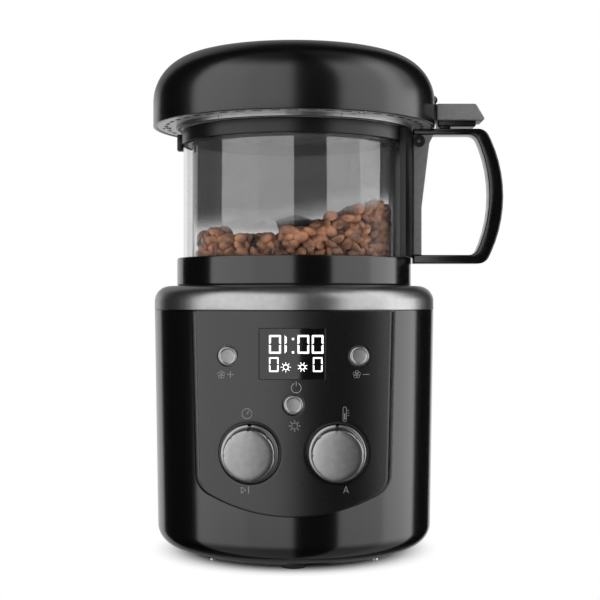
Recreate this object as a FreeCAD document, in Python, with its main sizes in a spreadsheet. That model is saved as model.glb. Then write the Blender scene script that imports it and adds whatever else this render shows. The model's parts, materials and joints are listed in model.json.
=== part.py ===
import FreeCAD, Part
import Sketcher
import math
import os
import re
from FreeCAD import Placement, Rotation, Vector

# A countertop coffee bean roaster: a drum-shaped base with its controls on the front,
# a double-walled glass jar that lifts off it by a D handle, and a lid hinged over the handle.
# Millimetres. +Z up, -Y is the front, +X the handle side, origin on the drum's axis at the floor.

SIZES = {
    # base drum
    "base_radius": 97.0,
    "base_taper": 2.6,
    "base_foot_radius": "base_radius - base_taper",
    "base_low": 5.0,
    "base_top": 166.0,
    "base_round": 13.5,
    "base_wall": 2.6,
    "base_mouth_inset": 16.5,
    "base_mouth_radius": "base_radius - base_mouth_inset",
    # silver ring round the top of the base
    "ring_top": 182.0,
    "ring_round": 10.5,
    "ring_wall": 2.4,
    "seat_radius": 72.0,
    "seat_ledge": 5.0,
    "seat_plate_top": 174.0,
    "seat_plate_wall": 2.5,
    "seat_hole_radius": 4.0,
    "seat_inner_circle": 38.0,
    "seat_outer_circle": 56.0,
    "seat_inner_count": 12,
    "seat_outer_count": 18,
    # bottom cover and feet
    "plate_wall": 2.8,
    "foot_height": 3.2,
    "foot_radius": 8.3,
    "foot_inset": 29.0,
    "foot_circle": "base_radius - foot_inset",
    "foot_count": 4,
    "vent_circle": 42.0,
    "vent_radius": 3.0,
    "vent_count": 16,
    "screw_radius": 1.5,
    "screw_head_radius": 2.8,
    "screw_head_height": 1.6,
    "base_screw_inset": 22.0,
    "base_screw_circle": "base_radius - base_screw_inset",
    "base_boss_radius": 3.6,
    "base_boss_height": 12.0,
    # front panel
    "panel_stand": 1.2,
    "panel_front": "base_radius + panel_stand",
    "panel_curve": 200.0,
    "panel_wall": 2.8,
    "panel_top": 165.6,
    "panel_half_top": 59.6,
    "panel_half_low": 57.0,
    "panel_shoulder": 55.0,
    "panel_smile": 18.0,
    "panel_corner": 10.0,
    "panel_taper": 13.0,
    "panel_reach": 40.0,
    "panel_gap": 0.15,
    "window_half": 50.0,
    "window_low": 54.0,
    "window_high": 158.0,
    "display_width": 40.6,
    "display_height": 31.5,
    "display_level": 138.7,
    "display_shift": -0.9,
    "display_glass": 1.2,
    "display_rim": 1.8,
    "fit_gap": 0.15,
    # buttons
    "button_radius": 6.0,
    "button_gap": 0.6,
    "button_proud": 1.5,
    "button_cap": 6.4,
    "button_flange": 1.2,
    "button_flange_radius": 7.6,
    "button_stem_radius": 2.2,
    "button_travel": 1.0,
    "button_dish": 0.5,
    "side_button_reach": 41.2,
    "side_button_level": 137.3,
    "power_button_level": 107.0,
    "switch_height": 3.5,
    "switch_width": 6.0,
    # rotary knobs, which also push
    "knob_reach": 27.4,
    "knob_level": 76.7,
    "knob_radius": 16.0,
    "knob_length": 13.0,
    "knob_skirt_radius": 18.0,
    "knob_skirt": 4.9,
    "knob_round": 1.6,
    "knob_travel": 0.8,
    "knob_back_gap": 1.0,
    "knob_notch": 1.0,
    "knob_notch_count": 8,
    "cup_radius": 19.5,
    "cup_wall": 1.6,
    "cup_inset": 5.4,
    "cup_floor": "base_radius - cup_inset",
    "knob_stem_radius": 3.0,
    "rotor_radius": 4.5,
    "encoder_nose_radius": 5.8,
    "encoder_width": 13.0,
    "encoder_depth": 7.0,
    "encoder_nose": 6.0,
    "encoder_blind": 3.0,
    "rotor_length": 14.0,
    "rotor_proud": 5.0,
    "running_gap": 0.05,
    # boards
    "board_inset": 20.0,
    "board_front": "base_radius - board_inset",
    "board_wall": 1.6,
    "board_half": 50.0,
    "board_low": 60.0,
    "board_high": 156.0,
    "post_radius": 3.0,
    "post_reach": 46.0,
    "post_low": 64.0,
    "post_high": 152.0,
    "power_board_half": 26.0,
    "power_board_height": 52.0,
    # blower
    "blower_radius": 66.0,
    "blower_low": 12.0,
    "blower_high": 46.0,
    "blower_wall": 2.0,
    "intake_radius": 28.0,
    "cradle_radius": 62.0,
    "impeller_radius": 34.0,
    "impeller_low": 19.0,
    "impeller_high": 40.0,
    "impeller_hub_radius": 8.0,
    "impeller_blade_count": 14,
    "impeller_blade_length": 15.0,
    "impeller_blade_wall": 1.2,
    "impeller_shaft_radius": 2.0,
    "blower_motor_radius": 20.0,
    "blower_motor_height": 12.0,
    # air duct and heater
    "duct_half": 18.0,
    "duct_near": 37.0,
    "duct_far": 60.0,
    "duct_wall": 1.2,
    "heater_radius": 66.0,
    "heater_low": 106.0,
    "heater_wall": 1.2,
    "heater_tube_radius": 8.0,
    "heater_tube_bore": 6.5,
    "heater_flange_radius": 70.5,
    "coil_wire_radius": 3.0,
    "coil_first": 26.0,
    "coil_pitch": 13.0,
    "coil_count": 3,
    "coil_level": 135.0,
    # stirring drive
    "gearcase_radius": 26.0,
    "gearcase_height": 20.0,
    "stir_motor_radius": 18.0,
    "stir_motor_height": 24.0,
    "shaft_radius": 4.0,
    "bush_radius": 6.0,
    "bush_flange_radius": 9.0,
    "bush_flange": 1.2,
    "coupling_radius": 11.0,
    "coupling_disc": 4.0,
    "coupling_dog": 4.0,
    "coupling_low": 176.0,
    "coupling_slack": 0.4,
    "dog_width": 6.0,
    "dog_inner": 4.5,
    # power inlet
    "inlet_width": 27.0,
    "inlet_height": 20.0,
    "inlet_level": 30.0,
    "inlet_depth": 22.0,
    "inlet_flange": 2.2,
    "inlet_flange_rim": 3.5,
    "inlet_wall": 1.5,
    "inlet_recess": 16.0,
    # jar
    "jar_radius": 81.5,
    "jar_low": 182.3,
    "jar_high": 201.3,
    "jar_bore": 66.0,
    "spigot_radius": 70.0,
    "spigot_low": 176.5,
    "glass_slot_floor": 197.0,
    "seal_height": 1.0,
    "glass_top": 285.0,
    "outer_glass_radius": 77.2,
    "outer_glass_wall": 2.5,
    "inner_glass_radius": 71.0,
    "inner_glass_wall": 1.8,
    "glass_gap": 0.35,
    "chamber_floor_low": 193.8,
    "chamber_floor_wall": 1.3,
    "floor_hole_radius": 1.7,
    "floor_first_circle": 20.0,
    "floor_circle_pitch": 10.0,
    "floor_circle_count": 5,
    "floor_hole_pitch": 13.0,
    "rim_radius": 78.3,
    "rim_low": 280.0,
    "rim_high": 289.4,
    "rim_bore": 67.6,
    "lug_width": 8.0,
    "lug_reach": 81.6,
    "lug_low": 276.5,
    # stirrer
    "hub_radius": 11.0,
    "hub_low": 197.0,
    "hub_neck": 222.0,
    "hub_brim": 228.4,
    "hub_brim_radius": 14.5,
    "hub_apex": 233.0,
    "arm_reach": 65.5,
    "arm_width": 3.0,
    "arm_low": 197.6,
    "arm_high": 206.0,
    "arm_count": 3,
    "arm_collar": 2.5,
    # handle and saddle
    "saddle_outer": 82.6,
    "saddle_half_angle": 24.5,
    "saddle_top": 289.2,
    "saddle_gap": 0.1,
    "handle_depth": 16.0,
    "handle_low": 197.7,
    "handle_high": 291.5,
    "handle_corner": 133.0,
    "handle_bow": 12.4,
    "handle_top_bar": 4.2,
    "handle_low_bar": 6.0,
    "grip_corner": 126.0,
    "grip_bow": 9.6,
    "grip_round": 6.5,
    "handle_round": 8.0,
    "root_low_reach": 88.6,
    "root_top_reach": 97.0,
    "root_depth": 15.0,
    "boss_level": 282.7,
    "boss_reach": 2.2,
    "boss_radius": 4.2,
    "boss_proud": 0.9,
    "handle_screw_radius": 1.8,
    # hinge
    "hinge_x": 96.4,
    "hinge_level": 311.0,
    "barrel_radius": 3.1,
    "barrel_half": 9.0,
    "pin_radius": 1.5,
    "pin_half": 13.5,
    "ear_width": 4.4,
    "hinge_side_gap": 0.5,
    "notch_low": 304.4,
    "notch_high": 316.4,
    "tab_low": 296.8,
    "tab_high": 308.2,
    "tab_start": 98.8,
    "tab_top_reach": 125.8,
    "tab_low_reach": 132.6,
    "tab_depth": 24.0,
    "tab_post_start": 101.6,
    "tab_post_end": 108.8,
    "tab_shoe_start": 100.0,
    "tab_shoe_end": 126.0,
    "tab_shoe_low": 293.4,
    # lid
    "lid_radius": 98.0,
    "lid_rim": 292.0,
    "lid_wall_height": 43.0,
    "lid_shoulder": "lid_rim + lid_wall_height",
    "lid_crown_rise": 10.6,
    "lid_apex": "lid_shoulder + lid_crown_rise",
    "lid_round": 31.5,
    "lid_wall": 2.4,
    "underplate_wall": 2.0,
    "underplate_lift": 0.4,
    "collar_radius": 82.2,
    "collar_wall": 2.6,
    "collar_low": 289.7,
    "collar_high": 300.0,
    "liner_low": 291.3,
    "liner_wall": 1.6,
    "lid_seal_inner": 69.5,
    "lid_seal_outer": 76.5,
    "lid_seal_gap": 0.3,
    "filter_radius": 60.8,
    "filter_low": 287.0,
    "filter_wall": 0.8,
    "filter_brim": 66.0,
    "filter_hole_radius": 1.8,
    "filter_first_circle": 12.0,
    "filter_circle_pitch": 9.0,
    "filter_circle_count": 5,
    "latch_width": 10.0,
    "latch_low": 290.4,
    "latch_height": 6.0,
    "latch_depth": 1.8,
    "lid_screw_circle": 88.8,
    "lid_screw_count": 3,
    "lid_boss_radius": 3.6,
    "lid_boss_drop": 9.0,
    "lid_boss_top": "lid_shoulder - lid_boss_drop",
    "lid_screw_length": 10.0,
}

MATHS = {"sin", "cos", "tan", "sqrt", "pow"}
ALONG = {"Z": Rotation(), "Y": Rotation(Vector(1, 0, 0), -90), "X": Rotation(Vector(0, 1, 0), 90)}

doc = FreeCAD.newDocument("coffee_roaster")
sizes = doc.addObject("Spreadsheet::Sheet", "Sizes")
for row, (alias, number) in enumerate(SIZES.items(), 1):
    sizes.set("A%d" % row, alias)
    sizes.set("B%d" % row, "=" + number if isinstance(number, str) else str(number))
    sizes.setAlias("B%d" % row, alias)
doc.recompute()

nodes = []


# Expressions, sizes and placing

def linked(text):
    return re.sub(r"[a-z][a-z_]+", lambda m: m[0] if m[0] in MATHS else "Sizes." + m[0], str(text))


def worth(text):
    return float(sizes.evalExpression(linked(text)))


def count(alias):
    return int(round(worth(alias)))


def bind(item, name, text):
    item.setExpression(name, linked(text))


def place(item, at, rotation):
    item.Placement = Placement(Vector(*[worth(text) for text in at]), rotation)
    for axis, text in zip("xyz", at):
        bind(item, "Placement.Base." + axis, text)
    return item


def spot(radius, degrees, level):
    return ("(%s) * cos(%.6f)" % (radius, degrees), "(%s) * sin(%.6f)" % (radius, degrees), level)


def node(item):
    nodes.append(item)
    return item


# Primitives and booleans

def rod(label, radius, length, at=("0", "0", "0"), along="Z"):
    item = doc.addObject("Part::Cylinder", label)
    bind(item, "Radius", radius)
    bind(item, "Height", length)
    return place(item, at, ALONG[along])


def block(label, low, span, turn=0.0):
    item = doc.addObject("Part::Box", label)
    for name, text in zip(("Length", "Width", "Height"), span):
        bind(item, name, text)
    return place(item, low, Rotation(Vector(0, 0, 1), turn))


def cone(label, low_radius, high_radius, height, level):
    item = doc.addObject("Part::Cone", label)
    bind(item, "Radius1", low_radius)
    bind(item, "Radius2", high_radius)
    bind(item, "Height", height)
    return place(item, ("0", "0", level), Rotation())


def hoop(label, radius, wire, level):
    item = doc.addObject("Part::Torus", label)
    bind(item, "Radius1", radius)
    bind(item, "Radius2", wire)
    return place(item, ("0", "0", level), Rotation())


def fuse(label, items):
    item = doc.addObject("Part::MultiFuse", label)
    item.Shapes = items
    return item


def common(label, items):
    item = doc.addObject("Part::MultiCommon", label)
    item.Shapes = items
    return item


def group(label, items):
    item = doc.addObject("Part::Compound", label)
    item.Links = items
    return item


def cut(label, base, tools):
    item = doc.addObject("Part::Cut", label)
    item.Base = base
    item.Tool = tools[0] if len(tools) == 1 else fuse(label + "_tools", tools)
    return item


def tube(label, outer, bore, low, height):
    return turned(label, [(bore, low), (outer, low), (outer, "(%s) + (%s)" % (low, height)),
                          (bore, "(%s) + (%s)" % (low, height))])


# Sketched bodies. A corner is (across, up), with (radius, side) added where the line
# from it to the next corner is an arc that bulges to the right (1) or the left (-1).

def arc_middle(start, end, radius, side):
    chord = end - start
    sagitta = radius - math.sqrt(max(radius ** 2 - (chord.Length / 2) ** 2, 0.0))
    right = Vector(chord.y, -chord.x, 0).normalize()
    return (start + end) * 0.5 + right * sagitta * side


def draw_loop(sketch, corners):
    first = sketch.GeometryCount
    places = [Vector(worth(corner[0]), worth(corner[1]), 0) for corner in corners]
    for index, corner in enumerate(corners):
        start, end = places[index], places[(index + 1) % len(corners)]
        if len(corner) == 2:
            sketch.addGeometry(Part.LineSegment(start, end), False)
        else:
            middle = arc_middle(start, end, worth(corner[2]), corner[3])
            sketch.addGeometry(Part.Arc(start, middle, end), False)
    here = []
    for index in range(len(corners)):
        flipped = (sketch.getPoint(first + index, 1) - places[index]).Length > 1e-6
        here.append((2, 1) if flipped else (1, 2))
    for index, corner in enumerate(corners):
        line, after = first + index, first + (index + 1) % len(corners)
        begin = here[index][0]
        sketch.addConstraint(Sketcher.Constraint(
            "Coincident", line, here[index][1], after, here[(index + 1) % len(corners)][0]))
        for kind, text in (("DistanceX", corner[0]), ("DistanceY", corner[1])):
            if abs(worth(text)) < 1e-9:
                axis = -2 if kind == "DistanceX" else -1
                sketch.addConstraint(Sketcher.Constraint("PointOnObject", line, begin, axis))
                continue
            number = sketch.addConstraint(Sketcher.Constraint(kind, -1, 1, line, begin, worth(text)))
            bind(sketch, "Constraints[%d]" % number, text)
        if len(corner) > 2:
            number = sketch.addConstraint(Sketcher.Constraint("Radius", line, worth(corner[2])))
            bind(sketch, "Constraints[%d]" % number, corner[2])


def sketched(label, role, loops, lift="0"):
    body = doc.addObject("PartDesign::Body", label)
    sketch = body.newObject("Sketcher::SketchObject", label + "_sketch")
    plane = [item for item in body.Origin.OriginFeatures if item.Role == role][0]
    sketch.AttachmentSupport = [(plane, "")]
    sketch.MapMode = "FlatFace"
    sketch.AttachmentOffset = Placement(Vector(0, 0, worth(lift)), Rotation())
    bind(sketch, "AttachmentOffset.Base.z", lift)
    for corners in loops:
        draw_loop(sketch, corners)
    doc.recompute()
    return body, sketch


def rounded(body, label, edges, radius):
    base = body.Tip
    names = ["Edge%d" % (number + 1) for number, edge in enumerate(base.Shape.Edges) if edges(edge)]
    if not names:
        raise RuntimeError("no edge to round on " + label)
    fillet = body.newObject("PartDesign::Fillet", label)
    fillet.Base = (base, names)
    bind(fillet, "Radius", radius)
    fillet.Radius = worth(radius)
    body.Tip = fillet
    doc.recompute()
    return fillet


def at_ring(radius, level):
    def test(edge):
        if edge.Degenerated:
            return False
        curve = edge.Curve
        return (isinstance(curve, Part.Circle) and abs(curve.Radius - worth(radius)) < 1e-3
                and abs(curve.Center.z - worth(level)) < 1e-3)
    return test


def turned(label, corners, rounds=()):
    body, sketch = sketched(label, "XZ_Plane", [corners])
    spin = body.newObject("PartDesign::Revolution", label + "_turn")
    spin.Profile = sketch
    spin.ReferenceAxis = (sketch, ["V_Axis"])
    spin.Angle = 360
    body.Tip = spin
    doc.recompute()
    for number, (radius, level, size) in enumerate(rounds, 1):
        rounded(body, "%s_round_%d" % (label, number), at_ring(radius, level), size)
    return body


def through(places):
    def test(edge):
        return any(all(abs(v.X - x) + abs(v.Z - z) < 2e-3 for v in edge.Vertexes) for x, z in places)
    return test


# A shape drawn in the front view and padded through the depth, towards the front.
def slab(label, loops, depth, rounds=(), lift=None):
    lift = "-(%s) / 2" % depth if lift is None else lift
    body, sketch = sketched(label, "XZ_Plane", loops, lift)
    pad = body.newObject("PartDesign::Pad", label + "_pad")
    pad.Profile = sketch
    bind(pad, "Length", depth)
    pad.Length = worth(depth)
    body.Tip = pad
    doc.recompute()
    for number, (corners, size) in enumerate(rounds, 1):
        spots = [(worth(x), worth(z)) for x, z in corners]
        rounded(body, "%s_round_%d" % (label, number), through(spots), size)
    return body


# Base drum, ring and seat

def base_shell():
    inner = "base_foot_radius - base_wall"
    blank = turned("base_shell_blank", [
        ("base_mouth_radius", "base_low"), ("base_foot_radius", "base_low"), ("base_radius", "base_top"),
        ("base_radius - base_wall", "base_top"), (inner, "base_low + base_wall"),
        ("base_mouth_radius", "base_low + base_wall")],
        [(inner, "base_low + base_wall", "base_round - base_wall"),
         ("base_foot_radius", "base_low", "base_round")])
    window = block("panel_window", ("-window_half", "-base_radius - 2", "window_low"),
                   ("2 * window_half", "base_radius / 2", "window_high - window_low"))
    inlet = block("inlet_window", ("-inlet_width / 2 - fit_gap", "base_radius / 2",
                                   "inlet_level - inlet_height / 2 - fit_gap"),
                  ("inlet_width + 2 * fit_gap", "base_radius", "inlet_height + 2 * fit_gap"))
    low = "foot_height + plate_wall + running_gap"
    bosses = [rod("base_boss_%d" % i, "base_boss_radius", "base_boss_height",
                  spot("base_screw_circle", angle, low)) for i, angle in enumerate(foot_angles(45))]
    bosses += [block("base_boss_web_%d" % i, spot("base_screw_circle", angle, "base_low + base_wall + plate_wall"),
                     ("base_mouth_radius - base_screw_circle + 4.5", "base_boss_radius / 2", "base_boss_height / 2"),
                     angle) for i, angle in enumerate(foot_angles(45))]
    shafts = [rod("base_boss_hole_%d" % i, "screw_radius", "base_boss_height",
                  spot("base_screw_circle", angle, "base_low")) for i, angle in enumerate(foot_angles(45))]
    solid = fuse("base_shell_bosses", [blank] + bosses)
    return node(cut("base_shell", solid, [window, inlet] + shafts))


def foot_angles(first):
    number = count("foot_count")
    return [first + 360.0 * i / number for i in range(number)]


def top_ring():
    inner = "base_radius - ring_wall"
    return node(turned("top_ring", [
        (inner, "base_top"), ("base_radius", "base_top"), ("base_radius", "ring_top"),
        ("seat_radius", "ring_top"), ("seat_radius", "seat_plate_top - seat_plate_wall"),
        ("seat_radius - seat_ledge", "seat_plate_top - seat_plate_wall"),
        ("seat_radius - seat_ledge", "seat_plate_top - seat_plate_wall - ring_wall"),
        ("seat_radius + ring_wall", "seat_plate_top - seat_plate_wall - ring_wall"),
        ("seat_radius + ring_wall", "ring_top - ring_wall"), (inner, "ring_top - ring_wall")],
        [(inner, "ring_top - ring_wall", "ring_round - ring_wall"), ("base_radius", "ring_top", "ring_round"),
         ("seat_radius", "ring_top", "ring_wall / 2")]))


def seat_plate():
    low = "seat_plate_top - seat_plate_wall"
    disc = rod("seat_disc", "seat_radius - 2 * fit_gap", "seat_plate_wall", ("0", "0", low))
    holes = [rod("seat_centre", "bush_radius", "seat_plate_wall * 3", ("0", "0", low + " - seat_plate_wall"))]
    for circle, number in (("seat_inner_circle", "seat_inner_count"), ("seat_outer_circle", "seat_outer_count")):
        for i in range(count(number)):
            holes.append(rod("%s_%d" % (circle, i), "seat_hole_radius", "seat_plate_wall * 3",
                             spot(circle, 360.0 * i / count(number), low + " - seat_plate_wall")))
    return node(cut("seat_plate", disc, holes))


def bush(label, plate_top, plate_wall):
    low = "%s - %s - 2" % (plate_top, plate_wall)
    return node(turned(label, [
        ("shaft_radius + running_gap", low), ("bush_radius", low), ("bush_radius", plate_top),
        ("bush_flange_radius", plate_top), ("bush_flange_radius", plate_top + " + bush_flange"),
        ("shaft_radius + running_gap", plate_top + " + bush_flange")]))


def base_plate():
    reach, brim = "base_mouth_radius + 1.4", "base_low + base_wall + running_gap * 2"
    disc = turned("base_disc", [
        ("0", "foot_height"), ("base_mouth_radius - 1.5", "foot_height"),
        ("base_mouth_radius - 1.5", brim), (reach, brim), (reach, brim + " + plate_wall / 2"),
        ("base_mouth_radius - 4", brim + " + plate_wall / 2"),
        ("base_mouth_radius - 4", "foot_height + plate_wall"), ("0", "foot_height + plate_wall")])
    cradle = tube("cradle", "cradle_radius + 2", "cradle_radius", "foot_height + plate_wall - 0.1",
                  "blower_low - foot_height - plate_wall + 0.1")
    holes = [rod("vent_%d" % i, "vent_radius", "plate_wall * 3",
                 spot("vent_circle", 360.0 * i / count("vent_count"), "foot_height - plate_wall"))
             for i in range(count("vent_count"))]
    holes += [rod("vent_inner_%d" % i, "vent_radius", "plate_wall * 3",
                  spot("vent_circle * 0.6", 360.0 * i / (count("vent_count") // 2), "foot_height - plate_wall"))
              for i in range(count("vent_count") // 2)]
    holes += [rod("foot_hole_%d" % i, "foot_radius / 2", "plate_wall * 3",
                  spot("foot_circle", angle, "foot_height - plate_wall"))
              for i, angle in enumerate(foot_angles(0))]
    clears = [rod("boss_clear_%d" % i, "base_boss_radius + 0.2", "base_boss_height * 2",
                  spot("base_screw_circle", angle, "foot_height + plate_wall"))
              for i, angle in enumerate(foot_angles(45))]
    clears += [rod("screw_clear_%d" % i, "screw_radius", "base_boss_height",
                   spot("base_screw_circle", angle, "0")) for i, angle in enumerate(foot_angles(45))]
    return node(cut("base_plate", fuse("base_disc_cradle", [disc, cradle]), holes + clears))


def feet():
    pads = []
    for i, angle in enumerate(foot_angles(0)):
        pad = rod("foot_pad_%d" % i, "foot_radius", "foot_height", spot("foot_circle", angle, "0"))
        plug = rod("foot_plug_%d" % i, "foot_radius / 2 - 0.05", "foot_height + plate_wall + 0.8",
                   spot("foot_circle", angle, "0"))
        pads.append(fuse("foot_%d" % i, [pad, plug]))
    return node(group("feet", pads))


def base_screws():
    screws = []
    for i, angle in enumerate(foot_angles(45)):
        head = rod("base_screw_head_%d" % i, "screw_head_radius", "screw_head_height",
                   spot("base_screw_circle", angle, "foot_height - screw_head_height"))
        shank = rod("base_screw_shank_%d" % i, "screw_radius - 0.05", "base_boss_height",
                    spot("base_screw_circle", angle, "foot_height - 0.1"))
        screws.append(fuse("base_screw_%d" % i, [head, shank]))
    return node(group("base_screws", screws))


# Front panel and what it carries

def sag(across):
    return "(panel_curve - sqrt(panel_curve * panel_curve - (%s) * (%s)))" % (across, across)


def panel_prism(label, inset):
    half_low, low = "panel_half_low - %s" % inset, "panel_shoulder"
    body, sketch = sketched(label, "XZ_Plane", [[
        (half_low, low), ("panel_half_top - %s" % inset, "panel_top - %s" % inset),
        ("-panel_half_top + %s" % inset, "panel_top - %s" % inset), ("-(%s)" % half_low, low,
        "((%s) * (%s) + (panel_smile - %s) * (panel_smile - %s)) / (2 * (panel_smile - %s))"
        % (half_low, half_low, inset, inset, inset), 1)]], "panel_front")
    pad = body.newObject("PartDesign::Pad", label + "_pad")
    pad.Profile = sketch
    pad.Reversed = True
    pad.TaperAngle = worth("panel_taper")
    bind(pad, "TaperAngle", "panel_taper")
    bind(pad, "Length", "panel_reach")
    pad.Length = worth("panel_reach")
    body.Tip = pad
    doc.recompute()
    corners = [(worth(half_low), worth(low)), (-worth(half_low), worth(low))]
    front = -worth("panel_front")

    def slanted(edge):
        near = [v for v in edge.Vertexes if abs(v.Y - front) < 1e-3
                and any(abs(v.X - x) + abs(v.Z - z) < 2e-3 for x, z in corners)]
        return len(near) == 1 and any(abs(v.Y - front) > 1 for v in edge.Vertexes)

    rounded(body, label + "_corner", slanted, "panel_corner - (%s)" % inset)
    return body


def control_panel():
    centre = ("0", "panel_curve - panel_front", "0")
    skin = common("panel_skin", [panel_prism("panel_prism", "0"),
                                 rod("panel_form", "panel_curve", "panel_top", centre)])
    hollow = common("panel_hollow", [panel_prism("panel_inner_prism", "panel_wall"),
                                     rod("panel_inner_form", "panel_curve - panel_wall", "panel_top", centre)])
    shell = cone("panel_seat", "base_foot_radius + panel_gap", "base_radius + panel_gap",
                 "base_top - base_low", "base_low")
    thin = cut("panel_thin", skin, [hollow, shell])
    cups, tools = [], []
    for side in (-1, 1):
        across = "%d * knob_reach" % side
        cups.append(rod("cup_%d" % (side + 1), "cup_radius + cup_wall", "cup_floor - board_front - 10",
                        (across, "-cup_floor - 1.4", "knob_level"), "Y"))
        tools.append(rod("cup_bore_%d" % (side + 1), "cup_radius", "panel_front - cup_floor + 5",
                         (across, "-panel_front - 5", "knob_level"), "Y"))
        tools.append(rod("cup_inner_%d" % (side + 1), "cup_radius", "panel_reach",
                         (across, "-cup_floor + cup_wall", "knob_level"), "Y"))
        tools.append(rod("nose_hole_%d" % (side + 1), "encoder_nose_radius + fit_gap", "panel_front",
                         (across, "-panel_front", "knob_level"), "Y"))
    for x, z in button_spots():
        tools.append(rod("button_hole_%d" % len(tools), "button_radius + button_gap", "panel_reach / 2",
                         (x, "-panel_front - 2", z), "Y"))
    glass_back = "-panel_front + %s + display_glass" % sag("display_width / 2")
    tools.append(block("display_pocket", (
        "display_shift - display_width / 2 - fit_gap", "-panel_front - 2",
        "display_level - display_height / 2 - fit_gap"),
        ("display_width + 2 * fit_gap", "%s + panel_front + 2" % glass_back, "display_height + 2 * fit_gap")))
    tools.append(block("display_opening", (
        "display_shift - display_width / 2 + display_rim", "-panel_front - 2",
        "display_level - display_height / 2 + display_rim"),
        ("display_width - 2 * display_rim", "panel_reach / 2", "display_height - 2 * display_rim")))
    posts = [rod("panel_post_%d" % i, "post_radius",
                 "panel_front - %s - panel_wall / 2 - board_front" % sag("post_reach"),
                 (x, "-panel_front + %s + panel_wall / 2" % sag("post_reach"), z), "Y")
             for i, (x, z) in enumerate(post_spots())]
    trimmed = common("panel_cups", [fuse("cups", cups), rod("cup_form", "panel_curve", "panel_top", centre)])
    return node(cut("control_panel", fuse("panel_solid", [thin, trimmed] + posts), tools))


def post_spots():
    return [("%d * post_reach" % side, level) for side in (-1, 1) for level in ("post_low", "post_high")]


def button_spots():
    return [("side_button_reach", "side_button_level"), ("-side_button_reach", "side_button_level"),
            ("0", "power_button_level")]


def display():
    front = "-panel_front + %s" % sag("display_width / 2")
    node(block("display_window", ("display_shift - display_width / 2", front, "display_level - display_height / 2"),
               ("display_width", "display_glass", "display_height")))
    node(block("display_module", (
        "display_shift - display_width / 2 + display_rim + fit_gap", front + " + display_glass + fit_gap",
        "display_level - display_height / 2 + display_rim + fit_gap"),
        ("display_width - 2 * display_rim - 2 * fit_gap",
         "panel_front - %s - display_glass - fit_gap - board_front" % sag("display_width / 2"),
         "display_height - 2 * display_rim - 2 * fit_gap")))


def control_board():
    return node(block("control_board", ("-board_half", "-board_front", "board_low"),
                      ("2 * board_half", "board_wall", "board_high - board_low")))


def encoders():
    cases = []
    for side in (-1, 1):
        across = "%d * knob_reach" % side
        case = block("encoder_case_%d" % (side + 1), (
            across + " - encoder_width / 2", "-board_front - encoder_depth", "knob_level - encoder_width / 2"),
            ("encoder_width", "encoder_depth", "encoder_width"))
        nose = rod("encoder_nose_%d" % (side + 1), "encoder_nose_radius", "encoder_nose + 1",
                   (across, "-board_front - encoder_depth - encoder_nose", "knob_level"), "Y")
        bore = rod("encoder_bore_%d" % (side + 1), "rotor_radius + running_gap",
                   "encoder_depth + encoder_nose - encoder_blind + 1",
                   (across, "-board_front - encoder_depth - encoder_nose - 1", "knob_level"), "Y")
        cases.append(cut("encoder_%d" % (side + 1), fuse("encoder_solid_%d" % (side + 1), [case, nose]), [bore]))
    return node(group("encoders", cases))


def tact_switches():
    items = [block("tact_%d" % i, (x + " - switch_width / 2", "-board_front - switch_height",
                                   z + " - switch_width / 2"), ("switch_width", "switch_height", "switch_width"))
             for i, (x, z) in enumerate(button_spots())]
    return node(group("tact_switches", items))


def button(label, x, z):
    front = "-panel_front + %s - button_proud" % sag(x)
    cap = rod(label + "_cap", "button_radius", "button_cap + 0.2", (x, front, z), "Y")
    flange = rod(label + "_flange", "button_flange_radius", "button_flange", (x, front + " + button_cap", z), "Y")
    stem_end = "-board_front - switch_height - button_travel - 0.15"
    stem = rod(label + "_stem", "button_stem_radius", "%s - (%s) - button_cap" % (stem_end, front),
               (x, front + " + button_cap", z), "Y")
    dish = rod(label + "_dish", "button_radius * 0.72", "button_dish * 2", (x, front + " - button_dish", z), "Y")
    return node(cut(label, fuse(label + "_solid", [cap, flange, stem]), [dish]))


def knob(label, side):
    across = "%d * knob_reach" % side
    back = "-cup_floor - knob_back_gap"
    front = back + " - knob_skirt - knob_length"
    profile = [("0", "0"), ("knob_skirt_radius", "0"), ("knob_skirt_radius", "knob_skirt"),
               ("knob_radius + 0.6", "knob_skirt"), ("knob_radius", "knob_skirt + knob_length"),
               ("0", "knob_skirt + knob_length")]
    form = turned(label + "_form", profile, [("knob_radius", "knob_skirt + knob_length", "knob_round"),
                                             ("knob_skirt_radius", "knob_skirt", "knob_round / 2")])
    notches = [rod("%s_notch_%d" % (label, i), "knob_notch", "knob_length * 2",
                   spot("knob_radius + 0.7", 90 + 360.0 * i / count("knob_notch_count"), "knob_skirt + 0.8"))
               for i in range(count("knob_notch_count"))]
    pointer = block(label + "_pointer", ("-0.7", "knob_radius * 0.62", "knob_skirt + knob_length - 0.6"),
                    ("1.4", "knob_radius", "2"))
    hollow = rod(label + "_hollow", "rotor_radius + 2.2", "knob_skirt + knob_length * 0.35",
                 ("0", "0", "-0.1"))
    shaped = cut(label + "_cap", form, notches + [pointer, hollow])
    stem = rod(label + "_stem", "knob_stem_radius", "cup_floor + knob_back_gap + knob_skirt + knob_length / 2"
               " - board_front - knob_travel - 3.5", ("0", "0",
               "-(cup_floor + knob_back_gap - board_front - knob_travel - 3.5)"))
    item = fuse(label, [shaped, stem])
    item.Placement = Placement(Vector(worth(across), worth(back), worth("knob_level")),
                               Rotation(Vector(1, 0, 0), 90))
    for axis, text in zip("xyz", (across, back, "knob_level")):
        bind(item, "Placement.Base." + axis, text)
    return node(item)


def rotor(label, side):
    across = "%d * knob_reach" % side
    front = "-board_front - encoder_depth - encoder_nose - rotor_proud"
    outer = rod(label + "_outer", "rotor_radius", "rotor_length", (across, front, "knob_level"), "Y")
    bore = rod(label + "_bore", "knob_stem_radius + running_gap", "rotor_length * 1.5",
               (across, front + " - 2", "knob_level"), "Y")
    return node(cut(label, outer, [bore]))


# Power, blower, duct and heater

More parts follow.
